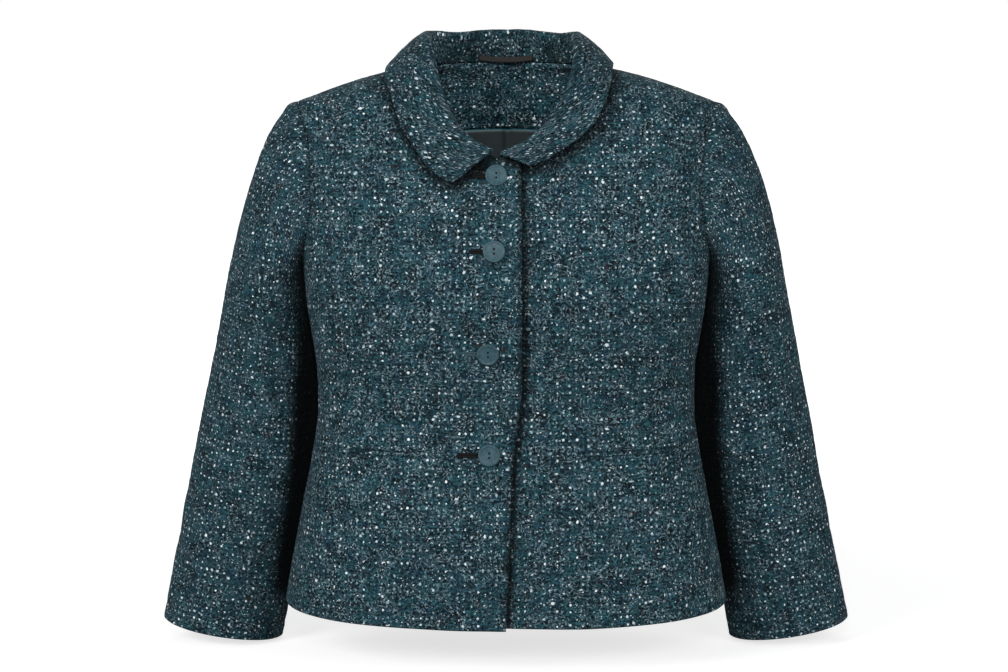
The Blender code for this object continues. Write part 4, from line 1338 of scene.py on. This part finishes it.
def collarHalf(side):
    look = collarLook
    seam = neckSeam(side)
    along = arcAlong(seam, 0)
    along = along / along[-1]
    table = collarRight if side < 0 else collarLeft
    stand, rise, reach, turn, lift = [curve(along) for curve in tableCurves(table)]
    forward = unit(np.gradient(seam, axis=0))
    out = unit(np.cross(forward, bodyNormal(seam))) * -side
    swing = np.radians(turn)[:, None]
    out = np.cos(swing) * out - np.sin(swing) * forward
    raised = np.where((seam[:, 1] < 0) & (side < 0), lapLift(seam[:, 0]), 0.0)
    edgeHeight = look["solid"] / 2 + look["clear"] + lift + raised
    tuckStart, tuckRun = look["tuckFrom"]
    tuck = look["tuck"] * ease((along - tuckStart) / tuckRun)
    seamHeight = raised - cloth["tweed"] / 2
    base, baseNormals = walkOut(seam, out, reach * look["walk"])
    lines = []
    for k, values in enumerate(zip(stand, rise, reach, seamHeight, edgeHeight, tuck)):
        place = collarSection(*values)
        travelled = np.linspace(0.0, reach[k] * look["walk"], len(base))
        foot = pointsAt(place[:, 0], travelled, base[:, k])
        up = unit(pointsAt(place[:, 0], travelled, baseNormals[:, k]))
        inward = np.minimum(place[:, 0], 0.0)[:, None]
        lines.append(foot + out[k] * inward + up * place[:, 1:])
    return np.array(lines)


def collarGrid():  # rows run round the neck
    right, left = collarHalf(-1), collarHalf(1)
    return np.concatenate([right[::-1], left[1:]]).transpose(1, 0, 2)


def rimOf(points):  # outer edge and both front ends, laid down on the body
    start = -collarLook["fallSteps"] - 1
    rim = np.concatenate([points[-1, ::2], points[start:, 0], points[start:, -1]])
    return dropToBody(rim, rounds=8)


def makeCollar(node, points, seed):
    normals = unit(np.cross(np.gradient(points, axis=1), np.gradient(points, axis=0)))
    middle = points.shape[1] // 2
    if normals[-8, middle, 1] < 0:  # the fall at the back faces backwards
        normals = -normals
    u, v, edge = edgeDistance(points)
    outer = lifted(points, normals, unevenness(u, v, edge, seed, collarLook["uneven"]))
    uvs = np.stack([u - u[:, middle][:, None] + seed * cloth["bolt"], v], axis=-1)
    return clothSheet(node, outer, uvs, normals, collarLook["cloth"], "collar", offset=0.0)


# Inside of the back neck

insideLook = {
    "facing": 0.0014,
    "facingSize": (0.24, 0.085),  # along and down, for the spacing of its points
    "facingBottom": -0.0625,
    "facingCurve": 0.011,  # how much lower its ends are
    "facingHalfWidth": 0.1150,
    "facingTop": (0.0008, 0.0030),  # below the neck seam and below the shoulder seams
    "facingWave": (0.02, 0.0005, 0.006),  # size, depth and fade
    "seamCover": 0.0032,  # how far it stands up over the neck seam
    "coverEnds": (0.008, 0.02),  # where that ends, from the shoulder seam, and its run
    "topSink": (0.0020, 0.0060),  # how far its top edge sinks against the collar, and its run
    "lining": 0.0012,
    "liningSize": (0.45, 0.41),
    "liningGap": 0.0012,  # below the facing
    "liningBottom": -0.478,
    "liningSide": 0.006,  # from the side seams
    "liningStep": 0.004,
    "liningWave": (0.035, 0.0010, 0.02),
    "pleat": (0.0040, 0.0022),  # half width and height
    "pleatMiddle": 0.4,  # in half widths
    "pleatTrough": (0.4, -1.2, 0.8),  # depth, place and width beside it, in its own sizes
    "pleatLine": -0.0028,  # x of its painted shade line
    "pleatShade": (0.95, 0.0013),
    "tape": 0.0012,
    "tapeSteps": (0.0018, 0.0011),
    "tapeHalfLength": 0.026,
    "tapeHeight": 0.0055,
    "tapeMid": 0.0045,
    "tapeDroop": 0.002,
    "tapeClear": 0.0030,
}


def facingLine(x):  # lower edge of the facing
    ends = (x / insideLook["facingHalfWidth"]) ** 2
    return insideLook["facingBottom"] - insideLook["facingCurve"] * ends


def makeFacing(node, seed):
    look, neckX = insideLook, levels["neckHalfWidth"]
    along, down = look["facingSize"]
    x = look["facingHalfWidth"] * (edgeShares(along) * 2 - 1)
    underNeck, underShoulder = look["facingTop"]
    topZ = np.where(np.abs(x) < neckX, -underNeck, ridgeHeight(x) - underShoulder)
    coverEnd, coverRun = look["coverEnds"]
    topZ = topZ + look["seamCover"] * ease((neckX - coverEnd - np.abs(x)) / coverRun)
    bottomZ = facingLine(x)
    rises = slowing(linePoints["facing"])
    dense = np.array([onBody(x, bottomZ + (topZ - bottomZ) * t, 1) for t in rises])
    upright = surfaceY(x, np.zeros_like(x), 1)  # above the seam it goes straight up
    dense[..., 1] = np.where(dense[..., 2] > 0, upright, dense[..., 1])
    points = byLength(dense, edgeShares(down))
    normals = bodyNormal(points)
    u, v, edge = edgeDistance(points)
    size, depth, fade = look["facingWave"]
    sink, sinkRun = look["topSink"]
    inward = cloth["tweed"] + cloth["layerGap"]
    inward = inward + depth * ease(edge / fade) * clothNoise(u, v, size, seed)
    inward -= sink * ease(1 - (v[-1:] - v) / sinkRun)
    outer = lifted(points, normals, -inward)
    return clothSheet(node, outer, weavePlace(points, 1, seed), normals, look["facing"], "facing")


def makeLining(node, seed):
    look, step = insideLook, insideLook["liningStep"]
    across, down = look["liningSize"]
    shares = edgeShares(across, step)
    bottom, top = look["liningBottom"], look["facingBottom"] - look["liningGap"]
    rows = []
    for t in edgeShares(down, step):
        level = bottom + (top - bottom) * t
        armhole = float(armholeBack(level)) if level > levels["underarm"] else 1.0
        edge = min(float(halfWidth(level)), armhole) - look["liningSide"]
        x = levelRow(level, -edge, edge, shares, 1)
        lower = np.maximum(facingLine(x) - look["facingBottom"], -look["facingCurve"])
        rows.append(onBody(x, level + lower * t**3, 1))
    points = np.array(rows)
    normals = bodyNormal(points)
    u, v, edge = edgeDistance(points)
    width, height = look["pleat"]
    x = points[..., 0]
    depth, place, breadth = look["pleatTrough"]
    pleat = ease(1 - np.abs(x / width - look["pleatMiddle"]))
    pleat = height * (pleat - depth * hump(x / width - place, breadth))
    size, depth, fade = look["liningWave"]
    ripples = depth * clothNoise(u, v, size, seed) * ease(edge / fade)
    inward = cloth["tweed"] + 2 * cloth["layerGap"]
    inward = inward + np.maximum(pleat, 0.0) + np.maximum(ripples, 0.0)
    outer = lifted(points, normals, -inward)
    uvs = np.stack([u, v - v[-1:]], axis=-1)
    # painted shade along the edge of the pleat
    shade = darker(x - look["pleatLine"], look["pleatShade"])
    return clothSheet(
        node, outer, uvs, normals, look["lining"], "lining", shade=shade
    )


def makeLoop(node):
    look = insideLook
    half, (stepAlong, stepUpward) = look["tapeHalfLength"], look["tapeSteps"]
    x = half * (edgeShares(2 * half, stepAlong) * 2 - 1)
    middle = 1 - (x / half) ** 2
    depth = cloth["tweed"] + cloth["layerGap"] + look["facing"] + look["tapeClear"] * (1 + middle)
    rows = []
    for t in edgeShares(look["tapeHeight"], stepUpward) - 0.5:
        z = look["tapeMid"] - look["tapeDroop"] * middle + t * look["tapeHeight"]
        y = onBody(x, np.minimum(z, 0.0), 1)[:, 1] - depth
        rows.append(np.stack([x, y, z], axis=1))
    points = np.array(rows)
    uvs = np.stack(edgeDistance(points)[:2], axis=-1)
    backward = np.zeros_like(points) + (0.0, 1.0, 0.0)
    return clothSheet(node, points, uvs, backward, look["tape"], "tape", kind="tape")


# Pocket mouths, buttonholes and buttons

pocketLook = {
    "midX": 0.118,
    "midZ": -0.353,
    "halfLength": 0.045,
    "halfHeight": 0.0042,
    "base": 0.0006,
    "step": 0.0018,
    "rows": 17,
    "lip": 0.0011,
    "lipForm": (0.52, 0.46),  # middle and half width, in half heights
    "endRun": 0.06,
    "endSink": 0.0009,
    "wall": 0.0008,
    "slitShadeLine": (0.4, 0.3),  # depth and half width of the painted shade in the slit, in half heights
}
buttonLook = {
    "places": ((-0.0090, -0.101), (-0.0110, -0.168), (-0.0165, -0.259), (-0.0155, -0.355)),
    "radius": 0.0101,
    "thickness": 0.0032,
    "rim": 0.0016,
    "dish": 0.0008,
    "holeRadius": 0.0010,
    "holeOffset": 0.0021,
    "standoff": 0.0006,
    "sides": 56,
    "holeSides": 16,
    "sharpFrom": 40.0,  # degrees
    "stem": {"radius1": 0.0008, "radius2": 0.0007, "segments": 12},
    "stemPlace": (0.36, 0.62),  # its middle and length, in thicknesses
    "shank": {"radius": 0.0014, "u_segments": 12, "v_segments": 8},
    "shankFlat": (1.0, 1.9, 0.35, 1.0),
    "profile": (  # from the underside round to the dish: radius from, by, height from, by
        ("rim", -0.0009, "under", 0.0),
        ("rim", -0.0003, "under", 0.0003),
        ("rim", 0.0, "under", 0.0010),
        ("rim", 0.0, "top", -0.0010),
        ("rim", -0.0002, "top", -0.0004),
        ("rim", -0.0006, "top", -0.0001),
        ("rim", -0.0010, "top", 0.0),
        ("lip", 0.0, "top", -0.00015),
        ("lip", -0.0004, "top", -0.0004),
        ("lip", -0.0008, "floor", 0.0001),
        ("lip", -0.0014, "floor", 0.0),
        ("axis", 0.0050, "floor", -0.0001),
    ),
}
buttonholeLook = {
    "halfLengths": (0.0105, 0.0110, 0.0105, 0.0145),
    "halfHeight": 0.0013,
    "bead": 0.0010,
    "standoff": 0.0008,
    "beadFlat": 0.75,  # height of the bead against its width
    "beadSides": (72, 10),  # round the slot and round the bead
    "slitSize": (0.97, 1.1),  # in half lengths and half heights
    "slitSides": 32,
    "slitWall": 0.0004,
    "closed": 3,  # number of the one that doesn't show
}


def frontOuter(x, z, side):  # point and normal on the outside of a front
    flat = onBody(x, z, -1)
    normals = bodyNormal(flat)
    outer = lifted(flat, normals, frontRelief(flat, side))
    outer[..., 1] -= cloth["seam"] / 2
    return outer, normals


def makePocket(node, side, seed):
    look = pocketLook
    span = edgeShares(2 * look["halfLength"], look["step"]) * 2 - 1
    acrossFront = side * (look["midX"] + look["halfLength"] * span)
    x, h = np.meshgrid(acrossFront, np.linspace(-1, 1, look["rows"]))
    z = look["midZ"] + look["halfHeight"] * h
    base, normals = frontOuter(x, z, side)
    lipMiddle, lipWidth = look["lipForm"]
    lips = np.sqrt(np.clip(1 - ((np.abs(h) - lipMiddle) / lipWidth) ** 2, 0.0, 1.0))
    ends = ease((1 - np.abs(span)) / look["endRun"])[None, :]
    height = look["base"] + look["lip"] * lips * ends - look["endSink"] * (1 - ends)
    points = lifted(base, normals, height)
    # painted shade along the pocket's slit
    dark, width = look["slitShadeLine"]
    shade = 1 - dark * ends * hump(h, width)
    uvs = weavePlace(onBody(x, z, -1), -1, seed)
    return clothSheet(node, points, uvs, normals, look["wall"], "body", shade=shade)


def beadLoop(halfLength):  # a bead swept round a slot shape
    halfHeight, bead = buttonholeLook["halfHeight"], buttonholeLook["bead"]
    bm = bmesh.new()
    around, sides = buttonholeLook["beadSides"]
    bmesh.ops.create_grid(bm, x_segments=around, y_segments=sides, size=0.5)
    for v in bm.verts:
        turn, roll = [(part + 0.5) * 2 * math.pi for part in v.co.xy]
        way = Vector((math.cos(turn), math.sin(turn), 0.0))
        end = math.copysign(halfLength - halfHeight, way.x) if abs(way.x) > 1e-6 else 0.0
        out = way * (halfHeight + bead * math.cos(roll))
        v.co = out + Vector((end, 0.0, bead * buttonholeLook["beadFlat"] * math.sin(roll)))
    bmesh.ops.remove_doubles(bm, verts=bm.verts, dist=1e-7)
    return bm


def placeOnFront(bm, x, z, standoff):  # local x across, y up the front, z out of it
    flat = onBody(x, z, -1)
    out = Vector(bodyNormal(flat))
    across = (Vector((0.0, 0.0, 1.0)).cross(out)).normalized()
    turn = Matrix((across, out.cross(across), out)).transposed().to_4x4()
    place = Vector(flat) + out * (lap["lift"] + standoff)
    bmesh.ops.transform(bm, matrix=Matrix.Translation(place) @ turn, verts=bm.verts)


def makeButtonhole(number, x, z, halfLength):
    look = buttonholeLook
    closed = number == look["closed"]
    stitches = beadLoop(halfLength)
    # a near-black sheet in the slot, painted shade for the buttonhole's opening
    slit = bmesh.new()
    bmesh.ops.create_circle(slit, cap_ends=True, radius=1.0, segments=look["slitSides"])
    lengthShare, heightShare = look["slitSize"]
    sizes = (halfLength * lengthShare, look["halfHeight"] * heightShare, 1.0)
    bmesh.ops.scale(slit, vec=sizes, verts=slit.verts)
    lid = bmesh.ops.extrude_face_region(slit, geom=list(slit.faces))["geom"]
    lid = [v for v in lid if isinstance(v, bmesh.types.BMVert)]
    bmesh.ops.translate(slit, vec=(0.0, 0.0, look["slitWall"]), verts=lid)
    made = []
    for kind, bm in (("stitch", stitches), ("slit", slit)):
        placeOnFront(bm, x - halfLength, z, look["standoff"])
        finish = "stitchPale" if closed else kind
        made.append(plainPiece(f"buttonhole_{number}_{kind}", bm, finish))
    return made


def circleAt(bm, radius, height, y, sides):
    place = Matrix.Translation((0.0, y, height))
    made = bmesh.ops.create_circle(bm, radius=radius, segments=sides, matrix=place)
    edges = {edge for vert in made["verts"] for edge in vert.link_edges}
    return sorted(edges, key=lambda edge: edge.index)


def makeButton(number, x, z):
    look = buttonLook
    radius, top, holeY = look["radius"], look["thickness"], look["holeOffset"]
    start = {
        "rim": radius, "lip": radius - look["rim"], "axis": 0.0,
        "under": 0.0, "top": top, "floor": top - look["dish"],
    }
    profile = [(start[a] + out, start[b] + up) for a, out, b, up in look["profile"]]
    disc = bmesh.new()
    loops = [circleAt(disc, r, h, 0.0, look["sides"]) for r, h in profile]
    for low, high in zip(loops, loops[1:]):
        bmesh.ops.bridge_loops(disc, edges=low + high)
    caps = [list(loops[0]), list(loops[-1])]
    thread = bmesh.new()  # through the holes and across under the face
    stemMiddle, stemLength = look["stemPlace"]
    stem = {**look["stem"], "depth": top * stemLength}
    for y in (-holeY, holeY):
        heights = (0.0, profile[-1][1])
        ends = [circleAt(disc, look["holeRadius"], h, y, look["holeSides"]) for h in heights]
        bmesh.ops.bridge_loops(disc, edges=ends[0] + ends[1])
        for cap, end in zip(caps, ends):
            cap += end
        place = Matrix.Translation((0.0, y, top * stemMiddle))
        bmesh.ops.create_cone(thread, cap_ends=True, matrix=place, **stem)
    for cap in caps:
        bmesh.ops.triangle_fill(disc, edges=cap, use_beauty=True)
    flat = Matrix.Diagonal(look["shankFlat"])
    bmesh.ops.create_uvsphere(thread, matrix=flat, **look["shank"])
    for bm in (disc, thread):
        placeOnFront(bm, x, z, look["standoff"])
    made = plainPiece(f"button_{number}_disc", disc, "button")
    made.data.set_sharp_from_angle(angle=math.radians(look["sharpFrom"]))
    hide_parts(f"button_{number}")
    plainPiece(f"button_{number}_thread", thread, "thread")


collarPoints = collarGrid()
collarRim = rimOf(collarPoints)
frontRight = makeFront("front_right", side=-1, seed=1)
frontLeft = makeFront("front_left", side=1, seed=2)
print("fronts made")
back = makeBack("back", seed=3)
print("back made")
sleeveRight = makeSleeve("sleeve_right", side=-1, seed=4)
sleeveLeft = makeSleeve("sleeve_left", side=1, seed=5)
print("sleeves made")
collar = makeCollar("collar", collarPoints, seed=6)
print("collar made")
facing = makeFacing("back_neck_facing", seed=7)
lining = makeLining("back_lining", seed=8)
loop = makeLoop("hanger_loop")
print("inside of the neck made")
pocketRight = makePocket("pocket_mouth_right", side=-1, seed=9)
pocketLeft = makePocket("pocket_mouth_left", side=1, seed=10)
holes = []
for number, (x, z) in enumerate(buttonLook["places"], 1):
    makeButton(number, x, z)
    holes += makeButtonhole(number, x, z, buttonholeLook["halfLengths"][number - 1])
print("pockets, buttons and buttonholes made")

# Floor, light and camera

studio = {
    "floor": -0.558,
    "floorSize": 60.0,
    "floorShown": (0.46, 0.46, 0.46, 1.0),
    "floorLit": (0.30, 0.31, 0.32, 1.0),  # for light that goes on to the cloth
    "glow": (0.4, 1.6, 0.71, 1.02),  # distances from the middle, and strength at each
    "fill": (0.95, 0.98, 1.0, 1.0),
    "fillStrength": 0.22,
    "target": (-0.0019, 0.0, -0.2575),
    "distance": 2.6,
    "elevation": 7.0,
    "lens": 97.74,
    "sensor": 36.0,
    "lights": (  # azimuth, elevation, distance, size, watts
        (-45.0, 24.0, 3.0, 1.4, 54.0),
        (45.0, 16.0, 3.0, 2.0, 39.0),
        (0.0, 20.0, 3.0, 0.8, 33.0),
        (180.0, 35.0, 3.2, 2.2, 24.0),
    ),
}
white = (1.0, 1.0, 1.0, 1.0)


def emptyTree(owner):
    owner.use_nodes = True
    owner.node_tree.nodes.clear()
    return owner.node_tree


def showOrLight(tree, light, shown, outKind):  # one shader for the camera, one for the light
    seen = tree.nodes.new("ShaderNodeLightPath").outputs["Is Camera Ray"]
    mix = addNode("ShaderNodeMixShader", {0: seen, 1: light.outputs[0], 2: shown.outputs[0]})
    addNode(outKind, {0: mix.outputs[0]})


def makeFloor():
    bm = bmesh.new()
    bmesh.ops.create_grid(bm, x_segments=8, y_segments=8, size=studio["floorSize"] / 2)
    bmesh.ops.translate(bm, vec=(0.0, 0.0, studio["floor"]), verts=bm.verts)
    paper = bpy.data.materials.new("studioPaper")
    tree = emptyTree(paper)
    dim, bright = [
        addNode("ShaderNodeBsdfDiffuse", {"Color": studio[key]}, tree)
        for key in ("floorLit", "floorShown")
    ]
    level = spread(addNode("ShaderNodeTexCoord", tree=tree).outputs["Object"], 1.0, 1.0)
    far = addNode("ShaderNodeVectorMath", {0: level}, operation="LENGTH").outputs["Value"]
    strength = stepUp(far, *studio["glow"])
    glow = addNode("ShaderNodeEmission", {"Color": white, "Strength": strength})
    lit = addNode("ShaderNodeAddShader", {0: bright.outputs[0], 1: glow.outputs[0]})
    showOrLight(tree, dim, lit, "ShaderNodeOutputMaterial")
    newObject("studioFloor", meshFrom(bm, "studioFloor"), paper)


def makeWorld():
    world = bpy.data.worlds.new("studio")
    bpy.context.scene.world = world
    tree = emptyTree(world)
    fill = {"Color": studio["fill"], "Strength": studio["fillStrength"]}
    fill = addNode("ShaderNodeBackground", fill, tree)
    shown = addNode("ShaderNodeBackground", {"Color": white, "Strength": 1.0}, tree)
    showOrLight(tree, fill, shown, "ShaderNodeOutputWorld")


def aimed(data, azimuth, elevation, distance):  # an object that looks at the target
    a, e = math.radians(azimuth), math.radians(elevation)
    way = Vector((math.sin(a) * math.cos(e), -math.cos(a) * math.cos(e), math.sin(e)))
    made = bpy.data.objects.new(data.name, data)
    made.location = Vector(studio["target"]) + way * distance
    made.rotation_euler = way.to_track_quat("Z", "Y").to_euler()
    bpy.context.scene.collection.objects.link(made)
    return made


def makeLights():
    for number, (*place, size, watts) in enumerate(studio["lights"], 1):
        data = bpy.data.lights.new(f"softbox_{number}", "AREA")
        data.shape = "DISK"
        data.size = size
        data.energy = watts
        aimed(data, *place)


def makeCamera():
    data = bpy.data.cameras.new("photoCamera")
    data.lens = studio["lens"]
    data.sensor_width = studio["sensor"]
    bpy.context.scene.camera = aimed(data, 0.0, studio["elevation"], studio["distance"])


makeFloor()
makeWorld()
makeLights()
makeCamera()
bpy.context.scene.view_settings.view_transform = "Standard"
print("studio made")
